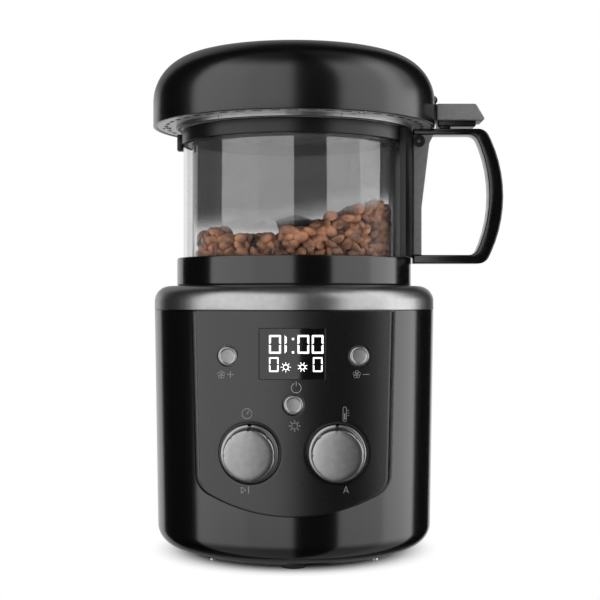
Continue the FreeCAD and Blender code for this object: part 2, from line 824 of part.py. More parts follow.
def power_board():
    return node(block("power_board", ("-power_board_half", "duct_far + 1.5", "blower_high"),
                      ("2 * power_board_half", "board_wall", "power_board_height")))


def power_inlet():
    front = "base_foot_radius + inlet_flange + 0.9"
    body = block("inlet_body", ("-inlet_width / 2", front + " - inlet_depth", "inlet_level - inlet_height / 2"),
                 ("inlet_width", "inlet_depth", "inlet_height"))
    flange = block("inlet_plate", ("-inlet_width / 2 - inlet_flange_rim", front + " - inlet_flange",
                                   "inlet_level - inlet_height / 2 - inlet_flange_rim"),
                   ("inlet_width + 2 * inlet_flange_rim", "inlet_flange", "inlet_height + 2 * inlet_flange_rim"))
    recess = block("inlet_recess_form", ("-inlet_width / 2 + inlet_wall", front + " - inlet_recess",
                                         "inlet_level - inlet_height / 2 + inlet_wall"),
                   ("inlet_width - 2 * inlet_wall", "inlet_recess + 1", "inlet_height - 2 * inlet_wall"))
    pins = [block("inlet_pin_%d" % i, ("%d * 7 - 1" % x, front + " - inlet_recess - 0.5", "inlet_level - 2 + %d" % z),
                  ("2", "inlet_recess - 3", "4")) for i, (x, z) in enumerate(((-1, -3), (0, 3), (1, -3)))]
    return node(fuse("power_inlet", [cut("inlet_shell", fuse("inlet_solid", [body, flange]), [recess])] + pins))


def blower_housing():
    drum = turned("blower_drum", [
        ("intake_radius", "blower_low"), ("blower_radius", "blower_low"), ("blower_radius", "blower_high"),
        ("impeller_shaft_radius + 1.5", "blower_high"),
        ("impeller_shaft_radius + 1.5", "blower_high - blower_wall"),
        ("blower_radius - blower_wall", "blower_high - blower_wall"),
        ("blower_radius - blower_wall", "blower_low + blower_wall"), ("intake_radius", "blower_low + blower_wall")])
    outlet = block("blower_outlet", ("-duct_half + duct_wall", "duct_near + duct_wall", "blower_high - blower_wall * 2"),
                   ("2 * duct_half - 2 * duct_wall", "duct_far - duct_near - 2 * duct_wall", "blower_wall * 4"))
    return node(cut("blower_housing", drum, [outlet]))


def blower():
    node(tube("blower_motor", "blower_motor_radius", "impeller_shaft_radius + running_gap",
              "blower_high", "blower_motor_height"))
    hub = rod("impeller_hub", "impeller_hub_radius", "impeller_high - impeller_low", ("0", "0", "impeller_low"))
    disc = rod("impeller_disc", "impeller_radius", "1.6", ("0", "0", "impeller_high - 1.6"))
    shaft = rod("impeller_shaft", "impeller_shaft_radius", "blower_high + blower_motor_height - impeller_high",
                ("0", "0", "impeller_high - 1"))
    blades = []
    for i in range(count("impeller_blade_count")):
        angle = 360.0 * i / count("impeller_blade_count")
        blades.append(block("impeller_blade_%d" % i, spot("impeller_radius - impeller_blade_length - 1", angle,
                                                         "impeller_low"),
                            ("impeller_blade_length", "impeller_blade_wall", "impeller_high - impeller_low - 1"),
                            angle + 20))
    node(fuse("blower_impeller", [hub, disc, shaft] + blades))


def air_duct():
    outer = block("duct_outer", ("-duct_half", "duct_near", "blower_high"),
                  ("2 * duct_half", "duct_far - duct_near", "heater_low - blower_high"))
    inner = block("duct_inner", ("-duct_half + duct_wall", "duct_near + duct_wall", "blower_high - 1"),
                  ("2 * duct_half - 2 * duct_wall", "duct_far - duct_near - 2 * duct_wall",
                   "heater_low - blower_high + 2"))
    return node(cut("air_duct", outer, [inner]))


def heater():
    brim = "seat_plate_top - seat_plate_wall - ring_wall"
    can = turned("heater_blank", [
        ("heater_tube_bore", "heater_low"), ("heater_radius", "heater_low"),
        ("heater_radius", brim + " - heater_wall * 2"), ("heater_flange_radius", brim + " - heater_wall * 2"),
        ("heater_flange_radius", brim), ("heater_radius - heater_wall", brim),
        ("heater_radius - heater_wall", "heater_low + heater_wall"), ("heater_tube_radius", "heater_low + heater_wall"),
        ("heater_tube_radius", brim + " - 1"), ("heater_tube_bore", brim + " - 1")])
    inlet = block("heater_inlet", ("-duct_half + duct_wall", "duct_near + duct_wall", "heater_low - 1"),
                  ("2 * duct_half - 2 * duct_wall", "duct_far - duct_near - 2 * duct_wall", "heater_wall + 2"))
    node(cut("heater_can", can, [inlet]))
    hoops = [hoop("coil_%d" % i, "coil_first + %d * coil_pitch" % i, "coil_wire_radius", "coil_level")
             for i in range(count("coil_count"))]
    node(group("heating_element", hoops))
    span = "2 * heater_radius - 2 * heater_wall - 1"
    rise = "coil_level - coil_wire_radius - heater_low - heater_wall"
    bars = [block("support_x", ("-(%s) / 2" % span, "-0.75", "heater_low + heater_wall"), (span, "1.5", rise)),
            block("support_y", ("-0.75", "-(%s) / 2" % span, "heater_low + heater_wall"), ("1.5", span, rise))]
    centre = rod("support_centre", "heater_tube_radius + 0.1", rise + " + 2", ("0", "0", "heater_low"))
    node(cut("heater_support", fuse("support_cross", bars), [centre]))


def stirring_drive():
    low = "heater_low - gearcase_height"
    case = rod("gearcase_solid", "gearcase_radius", "gearcase_height", ("0", "0", low))
    bore = rod("gearcase_bore", "shaft_radius + running_gap", "gearcase_height", ("0", "0", low + " + 6"))
    node(cut("stir_gearcase", case, [bore]))
    node(rod("stir_motor", "stir_motor_radius", "stir_motor_height", ("0", "0", low + " - stir_motor_height")))
    node(rod("drive_shaft", "shaft_radius", "coupling_low + coupling_disc - heater_low + gearcase_height - 7",
             ("0", "0", low + " + 7")))
    disc = tube("drive_disc", "coupling_radius", "shaft_radius", "coupling_low", "coupling_disc")
    dogs = [block("drive_dog_%d" % i, (x, "-dog_width / 2", "coupling_low + coupling_disc - 0.1"),
                  ("coupling_radius - dog_inner - 1", "dog_width", "coupling_dog"))
            for i, x in enumerate(("dog_inner", "-coupling_radius + 1"))]
    node(fuse("drive_coupling", [disc] + dogs))


# Jar

def jar_base():
    slot_out, slot_in = "outer_glass_radius + glass_gap", "outer_glass_radius - outer_glass_wall - glass_gap"
    slot_two, slot_three = "inner_glass_radius + glass_gap", "inner_glass_radius - inner_glass_wall - glass_gap"
    return node(turned("jar_base", [
        ("jar_bore", "spigot_low"), ("spigot_radius", "spigot_low"), ("spigot_radius", "jar_low"),
        ("jar_radius", "jar_low"), ("jar_radius", "jar_high"), (slot_out, "jar_high"),
        (slot_out, "glass_slot_floor"), (slot_in, "glass_slot_floor"), (slot_in, "jar_high"),
        (slot_two, "jar_high"), (slot_two, "glass_slot_floor"), (slot_three, "glass_slot_floor"),
        (slot_three, "chamber_floor_low + chamber_floor_wall + 0.4"),
        (slot_three + " - 1", "chamber_floor_low + chamber_floor_wall + 0.4"),
        (slot_three + " - 1", "chamber_floor_low"), ("jar_bore", "chamber_floor_low")],
        [("jar_radius", "jar_low", "1.2"), ("jar_radius", "jar_high", "0.8")]))


def chamber_floor():
    radius = "inner_glass_radius - inner_glass_wall - glass_gap - 1.1"
    disc = rod("floor_disc", radius, "chamber_floor_wall", ("0", "0", "chamber_floor_low"))
    holes = [rod("floor_centre", "bush_radius", "8", ("0", "0", "chamber_floor_low - 3"))]
    for ring in range(count("floor_circle_count")):
        circle = worth("floor_first_circle") + ring * worth("floor_circle_pitch")
        number = max(6, int(2 * math.pi * circle / worth("floor_hole_pitch")))
        for i in range(number):
            holes.append(rod("floor_hole_%d_%d" % (ring, i), "floor_hole_radius", "8",
                             spot("floor_first_circle + %d * floor_circle_pitch" % ring, 360.0 * i / number,
                                  "chamber_floor_low - 3")))
    return node(cut("chamber_floor", disc, holes))


def glasses():
    low = "glass_slot_floor + seal_height"
    for name in ("outer_glass", "inner_glass"):
        bore = "%s_radius - %s_wall" % (name, name)
        node(tube(name, name + "_radius", bore, low, "glass_top - glass_slot_floor - seal_height"))
    for label, level in (("lower_seals", "glass_slot_floor"), ("upper_seals", "glass_top")):
        rings = [tube("%s_%s" % (label, name), name + "_radius + 0.1", "%s_radius - %s_wall - 0.1" % (name, name),
                      level, "seal_height") for name in ("outer_glass", "inner_glass")]
        node(group(label, rings))


def rim_ring():
    roof = "glass_top + seal_height"
    outer_in = "outer_glass_radius - outer_glass_wall - glass_gap"
    ring = turned("rim_blank", [
        ("rim_bore", "rim_low"), ("inner_glass_radius - inner_glass_wall - glass_gap", "rim_low"),
        ("inner_glass_radius - inner_glass_wall - glass_gap", roof), ("inner_glass_radius + glass_gap", roof),
        ("inner_glass_radius + glass_gap", "rim_low"), (outer_in, "rim_low"), (outer_in, roof),
        ("outer_glass_radius + glass_gap", roof), ("outer_glass_radius + glass_gap", "rim_low"),
        ("rim_radius", "rim_low"), ("rim_radius", "rim_high"), ("rim_bore", "rim_high")])
    lug = block("rim_lug", ("-lug_reach", "-lug_width / 2", "lug_low"),
                ("lug_reach - rim_radius + 0.5", "lug_width", "rim_high - lug_low - 1.5"))
    return node(fuse("rim_ring", [ring, cut("rim_lug_trim", lug, [
        rod("rim_lug_clear", "outer_glass_radius + glass_gap + 0.05", "60", ("0", "0", "rim_low - 30"))])]))


def stirrer():
    node(turned("stirrer_hub", [
        ("shaft_radius", "hub_low"), ("hub_radius", "hub_low"), ("hub_radius", "hub_neck"),
        ("hub_brim_radius", "hub_brim"), ("0", "hub_apex"), ("0", "hub_neck"), ("shaft_radius", "hub_neck")],
        [("hub_brim_radius", "hub_brim", "0.6")]))
    collar = tube("arm_collar_form", "hub_radius + arm_collar", "hub_radius", "arm_low", "arm_high - arm_low")
    arms = []
    for i in range(count("arm_count")):
        angle = 360.0 * i / count("arm_count") + 40
        low = ("(hub_radius + 0.2) * cos(%.6f) + arm_width / 2 * sin(%.6f)" % (angle, angle),
               "(hub_radius + 0.2) * sin(%.6f) - arm_width / 2 * cos(%.6f)" % (angle, angle), "arm_low")
        arms.append(block("arm_%d" % i, low, ("arm_reach - hub_radius - 0.2", "arm_width", "arm_high - arm_low"),
                          angle))
    node(fuse("stirrer_arms", [collar] + arms))
    low = "coupling_low + coupling_disc + coupling_dog + coupling_slack"
    node(rod("stirrer_shaft", "shaft_radius", "hub_neck - (%s)" % low, ("0", "0", low)))
    disc = tube("driven_disc", "coupling_radius", "shaft_radius", low, "coupling_disc")
    dogs = [block("driven_dog_%d" % i, ("-dog_width / 2", y, "coupling_low + coupling_disc + coupling_slack"),
                  ("dog_width", "coupling_radius - dog_inner - 1", "coupling_dog + 0.1"))
            for i, y in enumerate(("dog_inner", "-coupling_radius + 1"))]
    node(fuse("driven_coupling", [disc] + dogs))


# Handle, saddle and hinge

def handle_saddle():
    band = tube("saddle_band", "saddle_outer", "rim_radius + saddle_gap", "jar_high + 0.2",
                "saddle_top - jar_high - 0.2")
    half = "saddle_outer * sin(saddle_half_angle)"
    keep = block("saddle_keep", ("rim_radius * cos(saddle_half_angle)", "-(%s)" % half, "jar_high"),
                 ("saddle_outer", "2 * (%s)" % half, "saddle_top - jar_high"))
    return node(common("handle_saddle", [band, keep]))


def bow_radius(low, high, bow):
    half = "(((%s) - (%s)) / 2)" % (high, low)
    return "(%s * %s + (%s) * (%s)) / (2 * (%s))" % (half, half, bow, bow, bow)


def handle():
    start = "saddle_outer + saddle_gap"
    inner_low, inner_high = "handle_low + handle_low_bar", "handle_high - handle_top_bar"
    outer = [(start, "handle_low"),
             ("handle_corner", "handle_low", bow_radius("handle_low", "handle_high", "handle_bow"), 1),
             ("handle_corner", "handle_high"), (start, "handle_high"), (start, inner_high),
             ("grip_corner", inner_high, bow_radius(inner_low, inner_high, "grip_bow"), -1),
             ("grip_corner", inner_low), (start, inner_low)]
    loop = slab("handle_loop", [outer], "handle_depth",
                [([("handle_corner", "handle_low"), ("handle_corner", "handle_high")], "handle_round"),
                 ([("grip_corner", inner_low), ("grip_corner", inner_high)], "grip_round")])
    loop.Label = "handle"
    return node(loop)


def handle_root():
    start = "saddle_outer + saddle_gap"
    low, high = "handle_low + handle_low_bar", "handle_high - handle_top_bar"
    plate = slab("root_plate", [[(start, low), ("root_low_reach", low),
                                 ("root_low_reach", "%s + (handle_high - handle_low) * 0.35" % low),
                                 ("root_top_reach - 3", high + " - 6"), ("root_top_reach", high), (start, high)]],
                 "root_depth")
    boss = rod("root_boss", "boss_radius", "root_depth / 2 + boss_proud",
               (start + " + boss_reach + 2", "-root_depth / 2 - boss_proud", "boss_level"), "Y")
    low_boss = rod("root_low_boss", "boss_radius * 0.6", "root_depth / 2",
                   (start + " + boss_reach + 1", "-root_depth / 2", "handle_low + handle_low_bar + 8"), "Y")
    keep = block("root_keep", (start, "-handle_depth", low),
                 ("handle_corner", "handle_depth * 2", "(%s) - (%s)" % (high, low)))
    holes = [rod("root_hole", "handle_screw_radius", "root_depth",
                 (start + " + boss_reach + 2", "-root_depth", "boss_level"), "Y")]
    solid = common("root_trim", [fuse("root_solid", [plate, boss, low_boss]), keep])
    return node(cut("handle_root", solid, holes))


def handle_screws():
    start = "saddle_outer + saddle_gap"
    return node(rod("handle_screw", "handle_screw_radius - 0.05", "root_depth / 2 - 2",
                    (start + " + boss_reach + 2", "-root_depth / 2 + 1.8", "boss_level"), "Y"))


def hinge():
    depth = "tab_depth"
    tab = slab("tab_plate", [[("tab_start", "tab_low"), ("tab_low_reach", "tab_low"),
                              ("tab_top_reach", "tab_high"), ("tab_start", "tab_high")]], depth)
    shoe = block("tab_shoe", ("tab_shoe_start", "-tab_depth * 0.4", "tab_shoe_low"),
                 ("tab_shoe_end - tab_shoe_start", "tab_depth * 0.8", "tab_low - tab_shoe_low + 0.1"))
    post = block("tab_post", ("tab_post_start", "-handle_depth / 2 + 1", "handle_high"),
                 ("tab_post_end - tab_post_start", "handle_depth - 2", "tab_low - handle_high + 0.1"))
    barrel = rod("hinge_barrel", "barrel_radius", "2 * barrel_half", ("hinge_x", "-barrel_half", "hinge_level"), "Y")
    arm = block("hinge_arm", ("hinge_x - 1.2", "-barrel_half", "tab_high - 2.4"),
                ("tab_start - hinge_x + 3", "2 * barrel_half", "2.4"))
    bore = rod("hinge_bore", "pin_radius", "4 * barrel_half", ("hinge_x", "-2 * barrel_half", "hinge_level"), "Y")
    node(cut("hinge_bracket", fuse("bracket_solid", [tab, shoe, post, barrel, arm]), [bore]))
    node(rod("hinge_pin", "pin_radius", "2 * pin_half", ("hinge_x", "-pin_half", "hinge_level"), "Y"))


# Lid

def lid_crown(shoulder, apex, radius):
    rise = "((%s) - (%s))" % (apex, shoulder)
    return "((%s) * (%s) + %s * %s) / (2 * %s)" % (radius, radius, rise, rise, rise)


def lid_dome():
    inner, shoulder, apex = "lid_radius - lid_wall", "lid_shoulder - lid_wall", "lid_apex - lid_wall"
    blank = turned("lid_blank", [
        ("lid_radius", "lid_rim"),
        ("lid_radius", "lid_shoulder", lid_crown("lid_shoulder", "lid_apex", "lid_radius"), 1),
        ("0", "lid_apex"), ("0", apex, lid_crown(shoulder, apex, inner), -1), (inner, shoulder),
        (inner, "lid_rim")],
        [(inner, shoulder, "lid_round - lid_wall"), ("lid_radius", "lid_shoulder", "lid_round")])
    side = "barrel_half + hinge_side_gap"
    ears = [block("lid_ear_%d" % i, ("hinge_x - barrel_radius - 3", y, "hinge_level - barrel_radius - 1"),
                  ("lid_radius - lid_wall - hinge_x + barrel_radius + 2.6", "ear_width", "2 * barrel_radius + 2"))
            for i, y in enumerate((side, "-(%s) - ear_width" % side))]
    posts = [rod("lid_boss_%d" % i, "lid_boss_radius", "lid_boss_top - lid_rim - underplate_lift - underplate_wall",
                 spot("lid_screw_circle", angle, "lid_rim + underplate_lift + underplate_wall"))
             for i, angle in enumerate(lid_screw_angles())]
    middle = "lid_radius - lid_wall / 2"
    mid_shoulder, mid_apex = "lid_shoulder - lid_wall / 2", "lid_apex - lid_wall / 2"
    form = turned("lid_form", [
        ("0", "lid_rim"), (middle, "lid_rim"), (middle, mid_shoulder, lid_crown(mid_shoulder, mid_apex, middle), 1),
        ("0", mid_apex)], [(middle, mid_shoulder, "lid_round - lid_wall / 2")])
    inside = common("lid_inside", [fuse("lid_inside_parts", ears + posts), form])
    notch = block("lid_notch", ("hinge_x - barrel_radius - 1", "-(%s)" % side, "notch_low"),
                  ("lid_radius", "2 * (%s)" % side, "notch_high - notch_low"))
    pin = rod("lid_pin_hole", "pin_radius + running_gap", "2 * pin_half + 0.6",
              ("hinge_x", "-pin_half - 0.3", "hinge_level"), "Y")
    screws = [rod("lid_boss_hole_%d" % i, "screw_radius", "lid_screw_length + 2", spot("lid_screw_circle", angle, "lid_rim"))
              for i, angle in enumerate(lid_screw_angles())]
    return node(cut("lid_dome", fuse("lid_solid", [blank, inside]), [notch, pin] + screws))


def lid_screw_angles():
    number = count("lid_screw_count")
    return [180.0 + 360.0 * i / number for i in range(number)]


def lid_parts():
    plate_low = "lid_rim + underplate_lift"
    plate = tube("underplate_blank", "lid_radius - lid_wall - 0.1", "collar_radius", plate_low, "underplate_wall")
    holes = [rod("underplate_hole_%d" % i, "screw_radius", "8", spot("lid_screw_circle", angle, "lid_rim - 2"))
             for i, angle in enumerate(lid_screw_angles())]
    holes.append(block("latch_notch", ("-latch_width / 2 - fit_gap", "-collar_radius - latch_depth - 1",
                                       "lid_rim"), ("latch_width + 2 * fit_gap", "latch_depth + 2",
                                                    "underplate_wall * 2")))
    node(cut("lid_underplate", plate, holes))
    node(tube("lid_collar", "collar_radius", "collar_radius - collar_wall", "collar_low", "collar_high - collar_low"))
    node(tube("lid_liner", "collar_radius - collar_wall", "filter_radius + 0.1", "liner_low", "liner_wall"))
    seal_low = "rim_high + lid_seal_gap"
    node(tube("lid_seal", "lid_seal_outer", "lid_seal_inner", seal_low, "liner_low - (%s)" % seal_low))
    cup = turned("filter_cup", [
        ("0", "filter_low"), ("filter_radius", "filter_low"), ("filter_radius", "liner_low + liner_wall"),
        ("filter_brim", "liner_low + liner_wall"), ("filter_brim", "liner_low + liner_wall + filter_wall"),
        ("filter_radius - filter_wall", "liner_low + liner_wall + filter_wall"),
        ("filter_radius - filter_wall", "filter_low + filter_wall"), ("0", "filter_low + filter_wall")])
    mesh = []
    for ring in range(count("filter_circle_count")):
        circle = worth("filter_first_circle") + ring * worth("filter_circle_pitch")
        number = int(2 * math.pi * circle / worth("filter_circle_pitch"))
        for i in range(number):
            mesh.append(rod("filter_hole_%d_%d" % (ring, i), "filter_hole_radius", "4", spot(
                "filter_first_circle + %d * filter_circle_pitch" % ring, 360.0 * i / number, "filter_low - 1")))
    node(cut("chaff_filter", cup, mesh))
    latch = block("latch_body", ("-latch_width / 2", "-collar_radius - latch_depth", "latch_low"),
                  ("latch_width", "latch_depth + 1", "latch_height"))
    nubs = [rod("latch_nub_%d" % i, "1.3", "latch_depth + 0.8",
                (x, "-collar_radius - latch_depth - 0.6", "latch_low + latch_height / 2"), "Y")
            for i, x in enumerate(("-2.4", "2.4"))]
    clear = rod("latch_clear", "collar_radius", "40", ("0", "0", "collar_low - 10"))
    node(cut("lid_latch", fuse("latch_solid", [latch] + nubs), [clear]))
    screws = []
    for i, angle in enumerate(lid_screw_angles()):
        head = rod("lid_screw_head_%d" % i, "screw_head_radius", "screw_head_height / 2",
                   spot("lid_screw_circle", angle, plate_low + " - screw_head_height / 2"))
        shank = rod("lid_screw_shank_%d" % i, "screw_radius - 0.05", "lid_screw_length",
                    spot("lid_screw_circle", angle, plate_low + " - 0.1"))
        screws.append(fuse("lid_screw_%d" % i, [head, shank]))
    node(group("lid_screws", screws))


# Building, checking and writing

base_shell()
top_ring()
seat_plate()
bush("shaft_bush", "seat_plate_top", "seat_plate_wall")
base_plate()
feet()
base_screws()
control_panel()
display()
control_board()
encoders()
tact_switches()
button("fan_up_button", "-side_button_reach", "side_button_level")
button("fan_down_button", "side_button_reach", "side_button_level")
button("power_button", "0", "power_button_level")
knob("time_knob", -1)
knob("temperature_knob", 1)
rotor("time_rotor", -1)
rotor("temperature_rotor", 1)
power_board()
power_inlet()
blower_housing()
blower()
air_duct()
heater()
stirring_drive()
jar_base()
chamber_floor()
bush("floor_bush", "chamber_floor_low + chamber_floor_wall", "chamber_floor_wall")
glasses()
rim_ring()
stirrer()
handle_saddle()
handle()
handle_root()
handle_screws()
hinge()
lid_dome()
lid_parts()

doc.recompute()
faults = [item.Label for item in doc.Objects if {"Invalid", "Error"} & set(item.State)]
faults += [item.Label for item in nodes if item.Shape.isNull() or not item.Shape.isValid()]
if faults:
    raise RuntimeError("faulty: " + ", ".join(faults))
os.makedirs("parts", exist_ok=True)
for item in nodes:
    item.Shape.exportStep("parts/%s.step" % item.Label)
    print("%-18s %8.2f cm3 %3d solids" % (item.Label, item.Shape.Volume / 1000, len(item.Shape.Solids)))
print(len(nodes), "nodes")
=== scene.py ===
import json
from math import asin, atan2, ceil, cos, degrees, exp, pi, radians, sin, sqrt, tan
import random

import bmesh
import bpy
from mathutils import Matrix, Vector, geometry


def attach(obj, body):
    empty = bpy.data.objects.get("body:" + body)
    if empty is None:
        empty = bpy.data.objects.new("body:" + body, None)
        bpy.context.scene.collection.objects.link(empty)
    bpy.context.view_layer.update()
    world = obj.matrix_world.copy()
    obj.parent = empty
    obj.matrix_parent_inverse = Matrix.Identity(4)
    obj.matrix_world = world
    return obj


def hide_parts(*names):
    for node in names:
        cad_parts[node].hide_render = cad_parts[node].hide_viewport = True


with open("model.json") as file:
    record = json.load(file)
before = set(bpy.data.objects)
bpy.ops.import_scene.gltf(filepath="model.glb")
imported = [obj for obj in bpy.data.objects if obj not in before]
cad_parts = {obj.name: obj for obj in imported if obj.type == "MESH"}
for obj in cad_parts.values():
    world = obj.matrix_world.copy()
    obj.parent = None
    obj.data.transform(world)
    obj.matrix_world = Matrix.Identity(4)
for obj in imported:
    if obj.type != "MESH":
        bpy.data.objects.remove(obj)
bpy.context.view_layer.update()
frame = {"nodes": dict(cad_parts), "record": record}
mm = 0.001
print("frame loaded")


# camera at the photograph's place; focal, middle and panelPitch are its pixels

view = {"across": 4.1, "back": 886.0, "height": 172.4, "lens": 75.9, "focal": 1265, "middle": 300,
        "panelPitch": 0.63}

cameraData = bpy.data.cameras.new("camera")
cameraData.lens, cameraData.sensor_width = view["lens"], 36
camera = bpy.data.objects.new("camera", cameraData)
bpy.context.scene.collection.objects.link(camera)
camera.location = (view["across"] * mm, -view["back"] * mm, view["height"] * mm)
camera.rotation_euler = (radians(90), 0, 0)
bpy.context.scene.camera = camera
bpy.context.scene.view_settings.view_transform = "Standard"


# finishes: one procedural material each, all on Object coordinates in metres

def link(start, end):
    end.id_data.links.new(start, end)


def wire(*rows):
    for start, out, end, into in rows:
        link(start.outputs[out], end.inputs[into])


def fill(node, values):
    for name, value in values.items():
        node.inputs[name].default_value = value


def noiseNode(place, scale, stretch=(1, 1, 1), detail=3.0):
    tree = place.id_data
    mapping, noise = tree.nodes.new("ShaderNodeMapping"), tree.nodes.new("ShaderNodeTexNoise")
    fill(mapping, {"Scale": stretch})
    fill(noise, {"Scale": scale, "Detail": detail})
    link(place, mapping.inputs["Vector"])
    wire((mapping, "Vector", noise, "Vector"))
    return noise.outputs["Fac"]


def rampNode(value, stops, blend="LINEAR"):
    ramp = value.id_data.nodes.new("ShaderNodeValToRGB")
    ramp.color_ramp.interpolation = blend
    while len(ramp.color_ramp.elements) < len(stops):
        ramp.color_ramp.elements.new(1.0)
    for element, (position, colour) in zip(ramp.color_ramp.elements, stops):
        element.position = position
        element.color = (*colour, 1)
    link(value, ramp.inputs["Fac"])
    return ramp.outputs["Color"]


def gradeNode(value, start, end, low=0.0, high=1.0):
    grade = value.id_data.nodes.new("ShaderNodeMapRange")
    grade.interpolation_type = "SMOOTHSTEP"
    fill(grade, {"From Min": start, "From Max": end, "To Min": low, "To Max": high})
    link(value, grade.inputs["Value"])
    return grade.outputs["Result"]


def mathNode(what, *values):
    # at least one value is a socket, and the others are numbers
    sockets = {index: value for index, value in enumerate(values) if not isinstance(value, (int, float))}
    made = list(sockets.values())[0].id_data.nodes.new("ShaderNodeMath")
    made.operation = what
    for index, value in enumerate(values):
        if index in sockets:
            link(value, made.inputs[index])
        else:
            made.inputs[index].default_value = value
    return made.outputs["Value"]


def finish(name, colours, rough, metal=0.0, scale=260, grain=2400, grainStretch=(1, 1, 1), bump=0.05,
           depth=0.02, see=0.0, ior=1.46, glow=0.0, coat=0.0):
    made = bpy.data.materials.new(name)
    made.use_nodes = True
    tree = made.node_tree
    shader = tree.nodes["Principled BSDF"]
    place = tree.nodes.new("ShaderNodeTexCoord").outputs["Object"]
    patches = noiseNode(place, scale)
    link(rampNode(patches, list(zip((0.3, 0.7), colours))), shader.inputs["Base Color"])
    fine = noiseNode(place, grain, grainStretch, 2.0)
    spread = tree.nodes.new("ShaderNodeMapRange")
    fill(spread, {"To Min": rough[0], "To Max": rough[1]})
    link(fine, spread.inputs["Value"])
    wire((spread, "Result", shader, "Roughness"))
    if bump:
        relief = tree.nodes.new("ShaderNodeBump")
        fill(relief, {"Strength": bump, "Distance": depth * mm})
        link(fine, relief.inputs["Height"])
        wire((relief, "Normal", shader, "Normal"))
    fill(shader, {"Metallic": metal, "IOR": ior, "Transmission Weight": see, "Coat Weight": coat})
    if glow:
        fill(shader, {"Emission Color": (1, 1, 1, 1), "Emission Strength": glow})
    return made


def grey(low, high):
    return (low, low, low), (high, high, high)


turned = {"grain": 7000, "grainStretch": (0.02, 0.02, 1.0)}        # turned marks run round the Z axis
looks = {
    "black_gloss": (grey(0.002, 0.003), (0.13, 0.17), {"bump": 0.02, "ior": 1.62}),
    "black_satin": (grey(0.004, 0.006), (0.26, 0.33), {"bump": 0.08, "grain": 4200}),
    "lid_black": (grey(0.002, 0.003), (0.19, 0.24), {"bump": 0.04, "grain": 3600, "ior": 1.62}),
    "grey_plastic": (grey(0.20, 0.24), (0.36, 0.44), {"bump": 0.10, "grain": 4200}),
    "silver_ring": (grey(0.33, 0.37), (0.27, 0.35), {**turned, "metal": 1.0, "grain": 9000}),
    "silver_knob": (grey(0.30, 0.35), (0.26, 0.32), {"metal": 1.0, "grain": 5200, "bump": 0.04}),
    "bright_metal": (grey(0.66, 0.74), (0.30, 0.40), {"metal": 0.6}),
    "drive_steel": (grey(0.42, 0.50), (0.22, 0.32), {**turned, "metal": 1.0}),
    "stirrer_metal": (grey(0.44, 0.52), (0.24, 0.30), {"metal": 1.0, "grain": 5200}),
    "coupling_plastic": (grey(0.02, 0.03), (0.42, 0.52), {"bump": 0.1}),
    "bush_bronze": (((0.42, 0.26, 0.12), (0.50, 0.32, 0.16)), (0.30, 0.42), {"metal": 1.0}),
    "clear_glass": (grey(0.10, 0.12), (0.01, 0.02), {"ior": 1.5, "bump": 0.0}),
    "smoked_glass": (grey(0.42, 0.44), (0.03, 0.06), {"see": 1.0, "ior": 1.13, "bump": 0.0}),
    "display_glass": (grey(0.003, 0.004), (0.02, 0.03), {"bump": 0.0, "coat": 0.3}),
    "seal_silicone": (grey(0.50, 0.58), (0.50, 0.60), {"bump": 0.1}),
    "foot_rubber": (grey(0.012, 0.02), (0.62, 0.75), {"bump": 0.3, "depth": 0.06}),
    "circuit_board": (((0.01, 0.08, 0.03), (0.02, 0.12, 0.05)), (0.35, 0.45), {"scale": 500}),
    "housing_plastic": (grey(0.05, 0.07), (0.45, 0.55), {"bump": 0.15}),
    "motor_steel": (grey(0.36, 0.44), (0.32, 0.42), {**turned, "metal": 1.0}),
    "heater_steel": (grey(0.34, 0.46), (0.38, 0.50), {"metal": 1.0, "scale": 90}),
    "element_alloy": (((0.10, 0.08, 0.07), (0.17, 0.13, 0.11)), (0.45, 0.60), {"metal": 0.8}),
    "mica_board": (((0.46, 0.40, 0.30), (0.58, 0.50, 0.38)), (0.5, 0.6), {"scale": 700}),
}
finishes = {name: finish(name, colours, rough, **more) for name, (colours, rough, more) in looks.items()}
# levels and strengths of the painted reflection graded onto the smoked inner glass above the beans
smokeAndReflection = {"level": 0.222, "lean": 0.24, "least": 0.2185, "below": 0.003, "above": 0.016, "metal": 0.34,
         "clear": 0.96, "dark": 0.40}
clearEdge = {"blend": 0.20, "middle": 0.03, "edge": 0.34}


def gradeGlass(made):
    # above the beans, whose heap leans up to the handle side, the inner glass turns grey and partly metallic; this
    # smoky coat follows the heap's top, so its grey is painted reflection
    tree = made.node_tree
    shader, split = tree.nodes["Principled BSDF"], tree.nodes.new("ShaderNodeSeparateXYZ")
    wire((tree.nodes["Texture Coordinate"], "Object", split, "Vector"))
    leaning = mathNode("MULTIPLY_ADD", split.outputs["X"], smokeAndReflection["lean"], smokeAndReflection["level"])
    heapLevel = mathNode("MAXIMUM", leaning, smokeAndReflection["least"])
    over = mathNode("SUBTRACT", split.outputs["Z"], heapLevel)
    for name, low, high in (("Metallic", 0.0, smokeAndReflection["metal"]), ("Base Color", smokeAndReflection["clear"], smokeAndReflection["dark"])):
        link(gradeNode(over, -smokeAndReflection["below"], smokeAndReflection["above"], low, high), shader.inputs[name])


def edgeGlass(made):
    # clear glass shows mostly where it is seen edge on
    tree = made.node_tree
    facing = tree.nodes.new("ShaderNodeLayerWeight")
    fill(facing, {"Blend": clearEdge["blend"]})
    alpha = gradeNode(facing.outputs["Facing"], 0.0, 1.0, clearEdge["middle"], clearEdge["edge"])
    link(alpha, tree.nodes["Principled BSDF"].inputs["Alpha"])


edgeGlass(finishes["clear_glass"])
# grades a painted reflection onto the smoked glass above the bean heap
gradeGlass(finishes["smoked_glass"])
printedGrey = finish("printed_grey", grey(0.32, 0.36), (0.5, 0.6), bump=0.0)
litWhite = finish("lit_white", grey(0.9, 0.95), (0.4, 0.5), bump=0.0, glow=0.9)
deepBlack = finish("deep_black", grey(0.004, 0.006), (0.5, 0.6))
print("finishes made")

